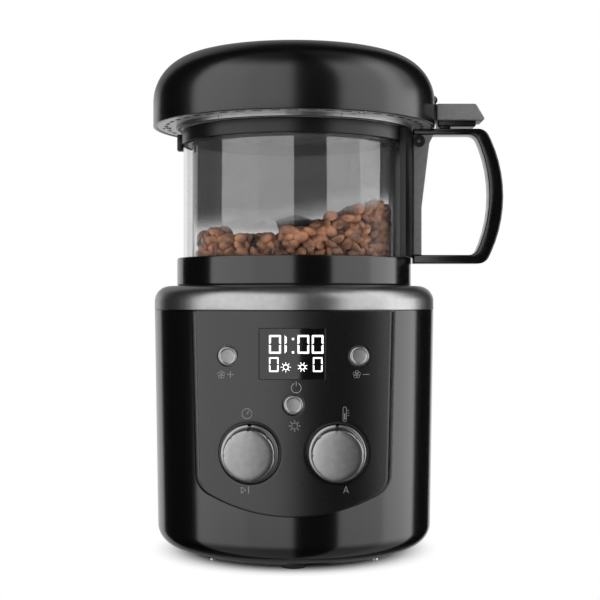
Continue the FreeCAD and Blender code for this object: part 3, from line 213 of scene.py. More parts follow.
slotOf = {part["node"]: part["material_slot"] for part in frame["record"]["subparts"]}
for nodeName, item in frame["nodes"].items():
    if not item.data.materials:
        item.data.materials.append(None)
    for index in range(len(item.data.materials)):
        item.data.materials[index] = finishes[slotOf[nodeName]]
print("solids dressed")


# making pieces

def pick(settings, names):
    return [settings[name] for name in names.split()]


def polar(reach, angle):
    return reach * cos(angle), reach * sin(angle)


def ringFaces(near, far):
    # near and far are the point numbers of two closed rings
    count = len(near)
    return [(near[i], near[(i + 1) % count], far[(i + 1) % count], far[i]) for i in range(count)]


def meshObject(name, points, faces):
    mesh = bpy.data.meshes.new(name)
    mesh.from_pydata([Vector(point) * mm for point in points], [], faces)
    item = bpy.data.objects.new(name, mesh)
    bpy.context.scene.collection.objects.link(item)
    return item


def newPiece(name, points, faces, body, slot, look=None, replaced=(), crease=38):
    item = meshObject(name, points, faces)
    work = bmesh.new()
    work.from_mesh(item.data)
    bmesh.ops.remove_doubles(work, verts=work.verts, dist=1e-7)
    bmesh.ops.recalc_face_normals(work, faces=work.faces)
    work.to_mesh(item.data)
    work.free()
    shade(item, look or finishes[slot], crease)
    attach(item, body)
    if replaced:
        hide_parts(*replaced)
    return item


def shade(item, look, crease):
    item.data.materials.clear()
    item.data.materials.append(look)
    item.data.shade_smooth()
    item.data.set_sharp_from_angle(angle=radians(crease))


def applyModifiers(item):
    graph = bpy.context.evaluated_depsgraph_get()
    mesh = bpy.data.meshes.new_from_object(item.evaluated_get(graph))
    item.modifiers.clear()
    item.data = mesh


def gather(parts):
    points, faces = [], []
    for more, sides in parts:
        faces += [tuple(len(points) + corner for corner in side) for side in sides]
        points += more
    return points, faces


def roundCorners(corners, steps=6):
    # a corner is (across, up) or (across, up, radius)
    line = []
    for index, corner in enumerate(corners):
        here = Vector(corner[:2])
        if len(corner) < 3:
            line.append(here)
            continue
        toLast = (Vector(corners[index - 1][:2]) - here).normalized()
        toNext = (Vector(corners[(index + 1) % len(corners)][:2]) - here).normalized()
        half = toLast.angle(toNext) / 2
        away = corner[2] / tan(half)
        middle = here + (toLast + toNext).normalized() * corner[2] / sin(half)
        start, end = here + toLast * away - middle, here + toNext * away - middle
        sweep = start.angle(end)
        for step in range(steps + 1):
            part = step / steps
            share = (start * sin((1 - part) * sweep) + end * sin(part * sweep)) / sin(sweep)
            line.append(middle + share)
    return line


def arcBetween(start, end, bow, steps):
    # points strictly between start and end on an arc that bulges to the right by bow
    start, end = Vector(start), Vector(end)
    chord = end - start
    right = Vector((chord.y, -chord.x)).normalized()
    radius = (chord.length ** 2 / 4 + bow * bow) / (2 * bow)
    centre = (start + end) / 2 - right * (radius - bow)
    first, last = start - centre, end - centre
    sweep = first.angle(last)
    turn = 1 if first.x * last.y - first.y * last.x > 0 else -1
    found = []
    for step in range(1, steps):
        across, up = polar(1, turn * sweep * step / steps)
        found.append(centre + Vector((first.x * across - first.y * up, first.x * up + first.y * across)))
    return found


def spinPoints(line, segments, along="Z", centre=(0, 0), shape=None):
    points, faces = [], []
    for index in range(segments):
        angle = 2 * pi * index / segments
        for radius, level in line:
            ahead, aside = polar(shape(radius, level, angle) if shape else radius, angle)
            if along == "Z":
                points.append((centre[0] + ahead, centre[1] + aside, level))
            else:
                points.append((centre[0] + aside, level, centre[1] + ahead))
    size = len(line)
    for index in range(segments):
        here, after = index * size, (index + 1) % segments * size
        for corner in range(size):
            onward = (corner + 1) % size
            if line[corner][0] >= 1e-6 or line[onward][0] >= 1e-6:
                faces.append((here + corner, here + onward, after + onward, after + corner))
    return points, faces


def spun(name, corners, body, slot, replaced=(), segments=256, along="Z", centre=(0, 0), shape=None, look=None,
         crease=38, steps=6):
    points, faces = spinPoints(roundCorners(corners, steps), segments, along, centre, shape)
    return newPiece(name, points, faces, body, slot, look, replaced, crease)


def prism(name, outline, front, back, body, slot, replaced=(), bevel=0.0, segments=3):
    # outline is (across, up) pairs; front and back are Y
    points, faces = blocks([outline], lambda x: front, lambda x: back)
    item = newPiece(name, points, faces, body, slot, None, replaced, 30)
    if bevel:
        work = bmesh.new()
        work.from_mesh(item.data)
        rims = [edge for edge in work.edges if abs(edge.verts[0].co.y - edge.verts[1].co.y) < 1e-9]
        bmesh.ops.bevel(work, geom=rims, offset=bevel * mm, segments=segments, profile=0.5, affect="EDGES")
        work.to_mesh(item.data)
        work.free()
        shade(item, finishes[slot], 30)
    return item


def blocks(shapes, front, back):
    # closed blocks from outlines of (across, up); front and back give Y at a place across
    parts = []
    for shape in shapes:
        count = len(shape)
        faces = [tuple(range(count)), tuple(range(2 * count - 1, count - 1, -1))]
        faces += ringFaces(range(count), range(count, 2 * count))
        parts.append(([(x, depth(x), z) for depth in (front, back) for x, z in shape], faces))
    return gather(parts)


boxFaces = [(0, 3, 2, 1), (4, 5, 6, 7), (0, 1, 5, 4), (1, 2, 6, 5), (2, 3, 7, 6), (3, 0, 4, 7)]


def boxPoints(low, high):
    points = [(x, y, z) for z in (low[2], high[2])
              for x, y in ((low[0], low[1]), (high[0], low[1]), (high[0], high[1]), (low[0], high[1]))]
    return points, boxFaces


def carve(item, boxes, slot, crease=38):
    tool = meshObject("carver", *gather([boxPoints(*box) for box in boxes]))
    cut = item.modifiers.new("carve", "BOOLEAN")
    cut.object, cut.operation, cut.solver = tool, "DIFFERENCE", "EXACT"
    applyModifiers(item)
    bpy.data.objects.remove(tool)
    shade(item, finishes[slot], crease)


# base drum, silver ring and feet

base = {"radius": 97.0, "footRadius": 94.4, "low": 5.0, "top": 166.0, "wall": 2.6, "mouth": 80.5, "brim": 165.9,
        "lowRound": 13.5, "window": (50.0, 54.0, 158.0), "inlet": (13.65, 19.85, 40.15), "behind": 48}

wide, narrow, low, wall, mouth, brim, bend, behind = pick(
    base, "radius footRadius low wall mouth brim lowRound behind")
baseShell = spun("base_shell_skin", [
    (mouth, low), (narrow, low, bend), (wide, brim, 0.35), (wide - wall, brim),
    (narrow - wall, low + wall, bend - wall), (mouth, low + wall)], "base", "black_gloss", ["base_shell"],
    steps=14)
(half, windowLow, windowHigh), (side, inletLow, inletHigh) = base["window"], base["inlet"]
carve(baseShell, [((-half, -wide - 2, windowLow), (half, -behind, windowHigh)),
                  ((-side, behind, inletLow), (side, wide + 2, inletHigh))], "black_gloss")

ring = {"top": 182.0, "round": 10.5, "wall": 2.4, "seat": 72.0, "ledge": 5.0, "seatLow": 171.5}

top, bend, wall, seat, ledge, seatLow = pick(ring, "top round wall seat ledge seatLow")
spun("top_ring_skin", [
    (wide - wall, base["top"]), (wide, base["top"], 0.3), (wide, top, bend), (seat, top, 1.2), (seat, seatLow),
    (seat - ledge, seatLow), (seat - ledge, seatLow - wall), (seat + wall, seatLow - wall),
    (seat + wall, top - wall), (wide - wall, top - wall, bend - wall)],
    "base", "silver_ring", ["top_ring"], steps=12)

foot = {"radius": 8.3, "height": 3.2, "circle": 68.0, "plug": 4.1, "plugTop": 6.8}
footLine = roundCorners([
    (0, 0), (foot["radius"], 0, 0.8), (foot["radius"], foot["height"], 0.4), (foot["plug"], foot["height"]),
    (foot["plug"], foot["plugTop"]), (0, foot["plugTop"])])
feet = gather([spinPoints(footLine, 48, centre=polar(foot["circle"], radians(angle)))
               for angle in (0, 90, 180, 270)])
newPiece("feet_pads", *feet, "base", "foot_rubber", None, ["feet"])
print("base made")


# control panel: a fine skin on the drum-like curve, with chains of rings round its rim and holes

panel = {"front": 98.2, "curve": 200.0, "wall": 2.8, "top": 165.6, "halfTop": 59.6, "halfLow": 57.0,
         "shoulder": 55.0, "smile": 18.0, "corner": 10.0, "taper": 13.0, "edge": 0.5, "grid": 2.4, "spacing": 1.6}
display = {"shift": -0.9, "level": 138.7, "width": 40.6, "height": 31.5, "glass": 1.2, "front": -97.17}
knob = {"across": 27.4, "level": 76.7, "radius": 16.0, "skirtRadius": 18.0, "skirt": 4.9, "length": 13.0,
        "back": -92.6, "cup": 19.5, "cupFloor": -91.6, "bore": 5.95, "notches": 8, "notchDepth": 0.9,
        "notchHalf": 4.2, "collar": (6.7, 6), "stem": (3.0, -81.5)}
button = {"radius": 6.0, "hole": 6.6, "proud": 1.5, "cap": 6.6, "dish": 0.5, "flange": (7.5, 1.2),
          "stem": (2.2, -81.9), "places": {
              "fan_up_button": (-41.2, 137.3), "fan_down_button": (41.2, 137.3), "power_button": (0.0, 107.0)}}


def panelY(x):
    return -panel["front"] + panel["curve"] - sqrt(panel["curve"] ** 2 - x * x)


def shellY(x, z):
    wide, narrow, low, top = pick(base, "radius footRadius low top")
    radius = narrow + (wide - narrow) * (z - low) / (top - low)
    return -sqrt(max(radius * radius - x * x, 0.0))


def dense(line):
    found = []
    for index, start in enumerate(line):
        end = line[(index + 1) % len(line)]
        pieces = max(1, int(ceil((end - start).length / panel["spacing"])))
        found += [start.lerp(end, part / pieces) for part in range(pieces)]
    return found


def outwardNormals(line):
    found = []
    for index in range(len(line)):
        along = line[(index + 1) % len(line)] - line[index - 1]
        found.append(Vector((along.y, -along.x)).normalized())
    return found


def inside(spot, line):
    hit = False
    for index, a in enumerate(line):
        b = line[index - 1]
        if (a.y > spot.y) != (b.y > spot.y) and spot.x < (b.x - a.x) * (spot.y - a.y) / (b.y - a.y) + a.x:
            hit = not hit
    return hit


def circleLine(x, z, radius, count):
    return [Vector((x + across, z + up))
            for across, up in (polar(radius, 2 * pi * i / count) for i in range(count))]


def windowCorners(grow, bend):
    across, up = display["width"] / 2 + grow, display["height"] / 2 + grow
    return roundCorners([(display["shift"] + sx * across, display["level"] + sz * up, bend)
                         for sx, sz in ((-1, -1), (1, -1), (1, 1), (-1, 1))], 4)


def panelOutline():
    halfTop, halfLow, shoulder, top, corner = pick(panel, "halfTop halfLow shoulder top corner")
    smile = arcBetween((-halfLow, shoulder), (halfLow, shoulder), panel["smile"], 18)
    corners = [(-halfLow, shoulder, corner)] + [tuple(point) for point in smile]
    corners += [(halfLow, shoulder, corner), (halfTop, top, 1.3), (-halfTop, top, 1.3)]
    return dense(roundCorners(corners))


def sunkBy(depth):
    return lambda x, z: panelY(x) + depth


def levelAt(y):
    return lambda x, z: y


def rounding(size):
    turns = [radians(angle) for angle in (0, 30, 60, 90)]
    return [(size * (1 - sin(turn)), sunkBy(size * (1 - cos(turn)))) for turn in turns]


def panelLoops():
    # each loop has its line, its taper, the way its insets go, and its chain of (inset, depth)
    rim, floor, cup, bore = panel["edge"], knob["cupFloor"], knob["cup"], knob["bore"]
    surface, under, front, back = sunkBy(0), sunkBy(panel["wall"]), levelAt(floor), levelAt(floor + 1.6)
    sunk = lambda x, z: max(shellY(x, z) + 1.0, panelY(x) + rim + 0.2)
    loops = [(panelOutline(), tan(radians(panel["taper"])), -1, [
        (1.2, surface), *rounding(rim), (0, sunk), (1.0, sunk), (1.0, under), (1.2, under)])]
    for x, z in button["places"].values():
        loops.append((circleLine(x, z, button["hole"], 48), 0, 1, [
            (0.9, surface), *rounding(0.35), (0, under), (0.9, under)]))
    for x in (-knob["across"], knob["across"]):
        loops.append((circleLine(x, knob["level"], cup, 96), 0, 1, [
            (2.1, surface), *rounding(0.45), (0, front), (bore - cup, front), (bore - cup, back), (1.6, back),
            (1.6, under), (2.1, under)]))
    ledge, deep = levelAt(display["front"] + display["glass"]), levelAt(display["front"] + 2.8)
    loops.append((dense(windowCorners(0.15, 0.8)), 0, 1, [
        (0.9, surface), *rounding(0.3), (0, ledge), (-1.8, ledge), (-1.8, deep), (0.9, under)]))
    return loops


def panelSkin():
    points, faces, flat, edges, borders, firsts, lasts = [], [], [], [], [], [], []
    for line, taper, way, chain in panelLoops():
        rings, count = [], len(line)
        for inset, depth in chain:
            rings.append([])
            for spot, normal in zip(line, outwardNormals(line)):
                at = spot.copy()
                for _ in range(4):
                    at = spot + normal * (taper * (depth(at.x, at.y) + panel["front"]) + way * inset)
                    at.y = min(at.y, panel["top"] - (inset if taper and normal.y > 0.9 else 0))
                rings[-1].append(len(points))
                points.append((at.x, depth(at.x, at.y), at.y))
        for near, far in zip(rings, rings[1:]):
            faces += ringFaces(near, far)
        first = len(flat)
        flat += [Vector((points[i][0], points[i][2])) for i in rings[0]]
        edges += [(first + i, first + (i + 1) % count) for i in range(count)]
        borders.append(flat[first:])
        firsts += rings[0]
        lasts += rings[-1]

    def onFace(spot):
        return inside(spot, borders[0]) and not any(inside(spot, border) for border in borders[1:])

    fixed, step = len(flat), panel["grid"]
    for row in range(int(140 / step)):
        for column in range(int(130 / step)):
            spot = Vector((-65 + column * step, 32 + row * step))
            if onFace(spot) and min((spot - corner).length for corner in flat[:fixed]) > step * 0.45:
                flat.append(spot)
    found, _, triangles, origin, _, _ = geometry.delaunay_2d_cdt(flat, edges, [], 0, 1e-6)
    source = [sorted(item)[0] if item else fixed for item in origin]
    for ends, lift in ((firsts, 0.0), (lasts, panel["wall"])):
        index = {}
        for number, spot in enumerate(found):
            if source[number] < fixed:
                index[number] = ends[source[number]]
            else:
                index[number] = len(points)
                points.append((spot.x, panelY(spot.x) + lift, spot.y))
        for triangle in triangles:
            if onFace(sum((found[i] for i in triangle), Vector((0, 0))) / 3):
                faces.append(tuple(index[i] for i in triangle))
    return newPiece("control_panel_skin", points, faces, "base", "black_gloss", panelBlack, ["control_panel"], 40)


panelBlack = finish("panel_black", grey(0.0016, 0.0024), (0.25, 0.29), bump=0.02, grain=3600, ior=1.62)
panelSkin()
print("panel made")


# display glass, its lit figures, and the printed marks

def shifted(x, y, depth):
    # a pixel of the photograph, as (across, up) on a plane that far behind the camera
    scale = depth / view["focal"]
    return view["across"] + (x - view["middle"]) * scale, view["height"] - (y - view["middle"]) * scale


def ribbon(points, width, front, back, closed=False):
    # a flat stroke made of small closed blocks, following a line of (across, up)
    shapes = []
    for start, end in zip(points, points[1:] + (points[:1] if closed else [])):
        start, end = Vector(start), Vector(end)
        along = (end - start).normalized() * width * 0.25
        aside = Vector((along.y, -along.x)).normalized() * width / 2
        shapes.append([start - along - aside, end + along - aside, end + along + aside, start - along + aside])
    return blocks(shapes, front, back)


def digit(left, top, right, low, bar, segments):
    # a seven-segment figure with slanted bar ends, from its pixel box in the photograph; a segment is
    # 1 at the top or -1 below, with -1 at the left, 1 at the right or 0 for a level bar
    mid, gap, half, shapes = (top + low) / 2, 0.25, bar / 2, []
    for way, side in segments:
        end = top if way > 0 else low
        shape = [(left + gap, end), (right - gap, end), (right - bar, end + way * bar),
                 (left + bar, end + way * bar)]
        if side:
            outer, inner = (left, left + bar) if side < 0 else (right, right - bar)
            shape = [(outer, end + way * gap), (inner, end + way * (bar + gap)), (inner, mid - way * (half + gap)),
                     (outer, mid - way * gap)]
        shapes.append([shifted(x, y, glassDepth) for x, y in shape])
    return shapes


def ringLine(x, y, radius, depth, count, start=0.0, end=360.0):
    steps = count if end - start >= 360 else count + 1
    spots = [polar(radius, radians(start + (end - start) * i / count)) for i in range(steps)]
    return [shifted(x + across, y - up, depth) for across, up in spots]


def rays(x, y, inner, outer, depth, first=90.0, count=8):
    lines = []
    for i in range(count):
        spots = [polar(reach, radians(first + 360 * i / count)) for reach in (inner, outer)]
        lines.append([shifted(x + across, y - up, depth) for across, up in spots])
    return lines


glassDepth = view["back"] + display["front"]
prism("display_window_glass", windowCorners(0, 0.6), display["front"], display["front"] + display["glass"],
      "base", "display_glass", ["display_window"])

zero, one = [(way, side) for side in (0, -1, 1) for way in (1, -1)], [(1, -1), (-1, -1)]
figures = []
for left, right, bar, segments in ((269.0, 281.0, 2.0, zero), (284.6, 287.6, 2.1, one),
                                   (297.5, 309.2, 2.0, zero), (311.8, 323.5, 2.0, zero)):
    figures += digit(left, 335.0, right, 353.7, bar, segments)
for left, right in ((269.0, 278.6), (312.9, 322.6)):
    figures += digit(left, 357.2, right, 372.0, 1.5, zero)
for y in (339.0, 352.4):
    low, high = y - 1.1, y + 1.1
    dot = ((291.9, low), (294.1, low), (294.1, high), (291.9, high))
    figures.append([shifted(x, z, glassDepth) for x, z in dot])
flush = lambda x: display["front"] - 0.05
sunkIn = lambda x: display["front"] + 0.05
litParts = [blocks(figures, flush, sunkIn)]
wheels = ((285.8, 367.2, 2.5, 20, 0.42, 3.5, 5.0, 90.0), (302.5, 367.1, 2.4, 8, 0.5, 2.4, 4.8, 22.5))
for x, y, radius, count, width, _, _, _ in wheels:
    litParts.append(ribbon(ringLine(x, y, radius, glassDepth, count), width, flush, sunkIn, True))
for x, y, _, _, width, inner, outer, first in wheels:
    litParts += [ribbon(ray, width, flush, sunkIn) for ray in rays(x, y, inner, outer, glassDepth, first)]
newPiece("display_figures", *gather(litParts), "base", None, litWhite)

markFront = lambda x: panelY(x) - 0.03
markBack = lambda x: panelY(x) + 0.06


def depthAt(x):
    return view["back"] + panelY(view["across"] + (x - view["middle"]) * view["panelPitch"])


def fanMark(x, y, reach=4.0):
    parts = []
    for blade in range(5):
        across, up = polar(0.56 * reach, radians(90 + 72 * blade))
        line = ringLine(x + across, y - up, 0.40 * reach, depthAt(x), 12)
        parts.append(ribbon(line, 0.22, markFront, markBack, True))
    return parts


def markLine(spots, width=0.34, closed=False):
    return ribbon([shifted(x, y, depthAt(x)) for x, y in spots], width, markFront, markBack, closed)


def markRing(x, y, radius, width, count, start=0.0, end=360.0):
    line = ringLine(x, y, radius, depthAt(x), count, start, end)
    return ribbon(line, width, markFront, markBack, end - start >= 360)


thermometer = [(343.1, 418.0), (343.1, 408.4)] + [
    (344.7 + 1.6 * cos(radians(180 - 30 * i)), 408.4 - 1.6 * sin(radians(30 * i)))
    for i in range(1, 6)] + [(346.3, 408.4), (346.3, 418.0)]
marks = fanMark(221.2, 374.6) + fanMark(356.9, 374.4) + [
    markLine([(227.2, 374.6), (233.6, 374.6)]), markLine([(230.4, 371.4), (230.4, 377.8)]),
    markLine([(362.9, 374.4), (369.3, 374.4)]),
    markRing(296.2, 388.0, 4.9, 0.42, 24, 115, 425), markLine([(296.2, 381.6), (296.2, 386.0)], 0.42),
    markRing(294.6, 426.0, 2.9, 0.30, 12)]
marks += [ribbon(ray, 0.5, markFront, markBack) for ray in rays(294.6, 426.0, 4.0, 5.4, depthAt(294.6))]
marks += [
    markRing(246.9, 413.7, 5.0, 0.32, 32), markLine([(246.9, 414.0), (248.8, 411.2)], 0.3),
    markLine([(241.2, 486.9), (241.2, 493.1), (245.6, 490.0)], 0.36, True),
    markLine([(248.6, 486.7), (248.6, 493.3)], 0.55),
    markLine(thermometer, 0.3), markRing(344.7, 419.6, 1.9, 0.3, 14, 125, 415),
    markLine([(344.7, 413.6), (344.7, 419.4)], 0.5)]
marks += [markLine([(347.6, y), (348.9, y)], 0.3) for y in (410.4, 412.9, 415.4)]
marks += [markLine([(343.5, 493.0), (346.0, 486.6), (348.5, 493.0)], 0.36),
          markLine([(344.4, 491.0), (347.6, 491.0)])]
newPiece("panel_marks", *gather(marks), "base", None, printedGrey)
print("display made")


# buttons and knobs, turned round their own axes

for name, (x, z) in button["places"].items():
    front = panelY(x) - button["proud"]
    dish, under = front + button["dish"], front + button["cap"]
    rim, (flange, thick), (stem, end) = pick(button, "radius flange stem")
    spun(name + "_cap", [
        (0, dish), (rim * 0.70, dish, 0.5), (rim * 0.80, front, 0.4), (rim, front, 0.9), (rim, under),
        (flange, under), (flange, under + thick), (stem, under + thick), (stem, end), (0, end)],
        name, "silver_knob", [name], 96, "Y", (x, z))


def knobRadius(radius, level, angle):
    # scallops down the grip, and at the pointer a slot through the skirt's rim
    turn, pitch = degrees(angle) % 360, 360 / knob["notches"]
    grip, back, half = pick(knob, "radius back notchHalf")
    skirtTop = back - knob["skirt"]
    if radius < grip - 2.2 or level > back - 0.5:
        return radius
    if level < skirtTop - 0.6:
        off = abs((turn + pitch / 2) % pitch - pitch / 2)
        fade = min(1.0, max(0.0, (level - (skirtTop - knob["length"]) - 0.3) / 1.5))
        return radius - knob["notchDepth"] * max(0.0, 1 - (off / half) ** 2) * fade
    return radius - (1.6 if min(turn, 360 - turn) < 3.0 and radius > grip + 1.2 else 0.0)


for name, way in (("time_knob", -1), ("temperature_knob", 1)):
    grip, skirt, back, (collar, deep), (stem, end) = pick(knob, "radius skirtRadius back collar stem")
    skirtTop = back - knob["skirt"]
    front = skirtTop - knob["length"]
    crown = [(grip * part, front + 0.55 * part ** 2) for part in (0.2, 0.4, 0.6, 0.75, 0.86)]
    spun(name + "_cap", [
        (0, front), *crown, (grip - 0.1, front + 0.8, 1.1), (grip + 0.4, skirtTop - 0.2, 0.35),
        (skirt, skirtTop, 0.8), (skirt, back, 0.3), (collar, back), (collar, back - deep),
        (stem, back - deep), (stem, end), (0, end)],
        name, "silver_knob", [name], 288, "Y", (way * knob["across"], knob["level"]), knobRadius, crease=34)
print("controls made")


# jar: base band, two glasses, rim ring with its lug

jar = {"radius": 81.5, "low": 182.3, "high": 201.3, "bore": 66.0, "spigot": 70.0, "spigotLow": 176.5,
       "slotFloor": 197.0, "glassLow": 198.0, "glassTop": 285.0, "outer": (77.2, 74.7), "inner": (71.0, 69.2),
       "clear": 0.35, "floorLow": 193.8, "floorTop": 195.5, "rim": 78.3, "rimLow": 280.0, "rimHigh": 289.4,
       "rimBore": 67.6, "lug": (81.6, 4.0, 276.5, 287.9)}

outerSlot, outerIn = jar["outer"][0] + jar["clear"], jar["outer"][1] - jar["clear"]
innerSlot, innerIn = jar["inner"][0] + jar["clear"], jar["inner"][1] - jar["clear"]
bore, spigot, spigotLow, reach, low, high, slotFloor, floorTop, floorLow = pick(
    jar, "bore spigot spigotLow radius low high slotFloor floorTop floorLow")
spun("jar_base_band", [
    (bore, spigotLow), (spigot, spigotLow, 0.5), (spigot, low), (reach, low, 1.2), (reach, high, 0.9),
    (outerSlot, high, 0.3), (outerSlot, slotFloor), (outerIn, slotFloor), (outerIn, high, 0.3),
    (innerSlot, high, 0.3), (innerSlot, slotFloor), (innerIn, slotFloor), (innerIn, floorTop),
    (innerIn - 1, floorTop), (innerIn - 1, floorLow), (bore, floorLow)], "jar", "black_gloss", ["jar_base"])
low, high = pick(jar, "glassLow glassTop")
for name, slot in (("outer", "clear_glass"), ("inner", "smoked_glass")):
    outer, inner = jar[name]
    spun(name + "_glass_wall", [(inner, low, 0.3), (outer, low, 0.3), (outer, high, 0.6), (inner, high, 0.6)],
         "jar", slot, [name + "_glass"])
bore, reach, low, high = pick(jar, "rimBore rim rimLow rimHigh")
roof = jar["glassTop"] + 1.0
spun("rim_ring_band", [
    (bore, low, 0.4), (innerIn, low), (innerIn, roof), (innerSlot, roof), (innerSlot, low), (outerIn, low),
    (outerIn, roof), (outerSlot, roof), (outerSlot, low), (reach, low, 0.3), (reach, high, 0.6), (bore, high, 0.6)],
    "jar", "black_satin", ["rim_ring"])
reach, half, low, high = jar["lug"]
root = -outerSlot - 0.1
prism("rim_lug", roundCorners([(-reach, low, 0.8), (root, low), (root, high), (-reach, high, 0.8)], 3), -half, half,
      "jar", "black_satin", bevel=0.6)
print("jar made")


# stirrer hub, with the beans that lie on it and turn with it

hub = {"radius": 11.0, "low": 197.0, "neck": 222.0, "brim": (14.5, 228.4), "apex": 233.0, "bore": 4.02}
radius, low, neck, bore = pick(hub, "radius low neck bore")
spun("stirrer_hub_cap", [
    (bore, low), (radius, low, 0.5), (radius, neck, 0.8), (*hub["brim"], 0.7), (0, hub["apex"]), (0, neck + 0.05),
    (bore, neck + 0.05)], "stirrer", "stirrer_metal", ["stirrer_hub"], 128)

beans = {"length": 10.6, "width": 7.9, "height": 6.8, "rows": 8, "columns": 14, "crease": 1.3, "creaseWidth": 0.9,
         "flat": 0.58, "tilt": 0.75, "smallest": 0.88, "largest": 1.05, "seed": 7, "outerCircle": 64.2, "shells": 6,
         "shellPitch": 7.2, "pitch": 8.4, "layer": 4.7, "floor": 196.6, "full": 2, "topLayers": 2,
         "armEnds": [40, 160, 280], "armReach": 64.9, "armLevels": [199.2, 203.4],
         "top": [(-75, 224), (-52, 222), (-34, 216), (-10, 219), (10, 225), (20, 229), (40, 237), (75, 243)]}


def heapTop(x):
    for (a, low), (b, high) in zip(beans["top"], beans["top"][1:]):
        if x <= b:
            return low + (high - low) * (x - a) / (b - a)
    return beans["top"][-1][1]


def beanPlaces():
    chance, spots = random.Random(beans["seed"]), []
    floor, deep = pick(beans, "floor layer")
    for shell in range(beans["shells"]):
        circle = beans["outerCircle"] - shell * beans["shellPitch"]
        count = int(2 * pi * circle / beans["pitch"])
        for index in range(count):
            angle = 2 * pi * (index + chance.random() * 0.5) / count
            layers = int((heapTop(circle * cos(angle)) - floor) / deep)
            for layer in range(layers):
                if shell > beans["full"] and layer < layers - beans["topLayers"]:
                    continue
                turn = angle + (layer % 2) * pi / count + chance.uniform(-0.02, 0.02)
                reach = circle + chance.uniform(-1.2, 0.3)
                spots.append((*polar(reach, turn), floor + (layer + 0.5) * deep + chance.uniform(-0.7, 0.7)))
    # a few lie over the ends of the stirrer arms
    return spots + [(*polar(beans["armReach"], radians(angle)), level)
                    for angle in beans["armEnds"] for level in beans["armLevels"]]


def beanForm():
    length, width, height, rows, columns, flat = pick(beans, "length width height rows columns flat")
    points, faces = [(0, 0, height / 2)], []
    for row in range(1, rows):
        fall = pi * row / rows
        for column in range(columns):
            angle = 2 * pi * column / columns
            x = length / 2 * sin(fall) * cos(angle)
            y = width / 2 * sin(fall) * sin(angle)
            z = height / 2 * cos(fall)
            crease = beans["crease"] * exp(-(y / beans["creaseWidth"]) ** 2) * sin(fall)
            points.append((x, y, z if z > 0 else z * flat + min(crease, -z * flat)))
    points.append((0, 0, -height / 2 * flat + beans["crease"]))
    last = 1 + (rows - 2) * columns
    for column in range(columns):
        after = (column + 1) % columns
        faces.append((0, 1 + column, 1 + after))
        for first in range(1, last, columns):
            second = first + columns
            faces.append((first + column, second + column, second + after, first + after))
        faces.append((last + column, len(points) - 1, last + after))
    form = meshObject("bean_form", points, faces)
    form.data.shade_smooth()
    return form


def groupTree(name, sockets):
    # a tree that ends in instances made real, in one finish
    tree = bpy.data.node_groups.new(name, "GeometryNodeTree")
    for label, kind in sockets:
        tree.interface.new_socket(name=label, in_out="INPUT", socket_type="NodeSocket" + kind)
    tree.interface.new_socket(name="Geometry", in_out="OUTPUT", socket_type="NodeSocketGeometry")
    given, out = tree.nodes.new("NodeGroupInput"), tree.nodes.new("NodeGroupOutput")
    place, real, paint = (tree.nodes.new("GeometryNode" + kind)
                          for kind in ("InstanceOnPoints", "RealizeInstances", "SetMaterial"))
    wire((real, "Geometry", paint, "Geometry"), (given, "Finish", paint, "Material"),
         (paint, "Geometry", out, "Geometry"))
    return tree, given, place, real


def active(sockets, name):
    return [item for item in sockets if item.enabled and item.name == name][0]


def heapTree():
    tree, given, place, real = groupTree("bean_heap", (
        ("Geometry", "Geometry"), ("Form", "Object"), ("Smallest", "Float"), ("Largest", "Float"), ("Seed", "Int"),
        ("Finish", "Material")))
    info = tree.nodes.new("GeometryNodeObjectInfo")
    turn, size = (tree.nodes.new("FunctionNodeRandomValue") for _ in range(2))
    turn.data_type = "FLOAT_VECTOR"
    # the flat side is turned up, down or to the glass by about a quarter turn, and the length points anywhere
    tilt = beans["tilt"]
    fill(turn, {"Min": (pi / 2 - tilt, -tilt, 0.0), "Max": (pi * 1.5 + tilt, tilt, 2 * pi)})
    wire((given, "Form", info, "Object"), (given, "Seed", turn, "Seed"), (given, "Seed", size, "Seed"),
         (given, "Geometry", place, "Points"), (info, "Geometry", place, "Instance"),
         (place, "Instances", real, "Geometry"))
    for start, end in ((given.outputs["Smallest"], active(size.inputs, "Min")),
                       (given.outputs["Largest"], active(size.inputs, "Max")),
                       (active(turn.outputs, "Value"), place.inputs["Rotation"]),
                       (active(size.outputs, "Value"), place.inputs["Scale"])):
        link(start, end)
    return tree


def feed(item, tree, values):
    modifier = item.modifiers.new("nodes", "NODES")
    modifier.node_group = tree
    for entry in tree.interface.items_tree:
        if entry.in_out == "INPUT" and entry.name in values:
            modifier[entry.identifier] = values[entry.name]
    applyModifiers(item)


beanBrown = finish("bean_brown", ((0.05, 0.016, 0.007), (0.78, 0.36, 0.19)), (0.15, 0.23), scale=95, grain=700,
                   bump=0.25, depth=0.25)
heap, form = meshObject("coffee_beans", beanPlaces(), []), beanForm()
feed(heap, heapTree(), {"Form": form, "Smallest": beans["smallest"], "Largest": beans["largest"],
                        "Seed": beans["seed"], "Finish": beanBrown})
bpy.data.objects.remove(form)
heap.data.shade_smooth()
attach(heap, "stirrer")
print("beans", len(heap.data.polygons))


# saddle, handle, root and hinge bracket

saddle = {"outer": 82.6, "inner": 78.4, "halfAngle": 24.5, "low": 201.5, "high": 289.2, "edge": 0.7, "steps": 48}


def saddleBand():
    inner, outer, low, high, edge, steps = pick(saddle, "inner outer low high edge steps")
    section = roundCorners([(inner, low), (outer, low, edge), (outer, high, edge), (inner, high)])
    points, faces, size = [], [], len(section)
    for step in range(steps + 1):
        angle = radians(saddle["halfAngle"] * (2 * step / steps - 1))
        points += [(*polar(radius, angle), z) for radius, z in section]
    for here in range(0, steps * size, size):
        faces += ringFaces(range(here, here + size), range(here + size, here + 2 * size))
    faces += [tuple(range(size)), tuple(range(steps * size, steps * size + size))]
    return newPiece("handle_saddle_band", points, faces, "jar", "black_satin", None, ["handle_saddle"])


saddleBand()

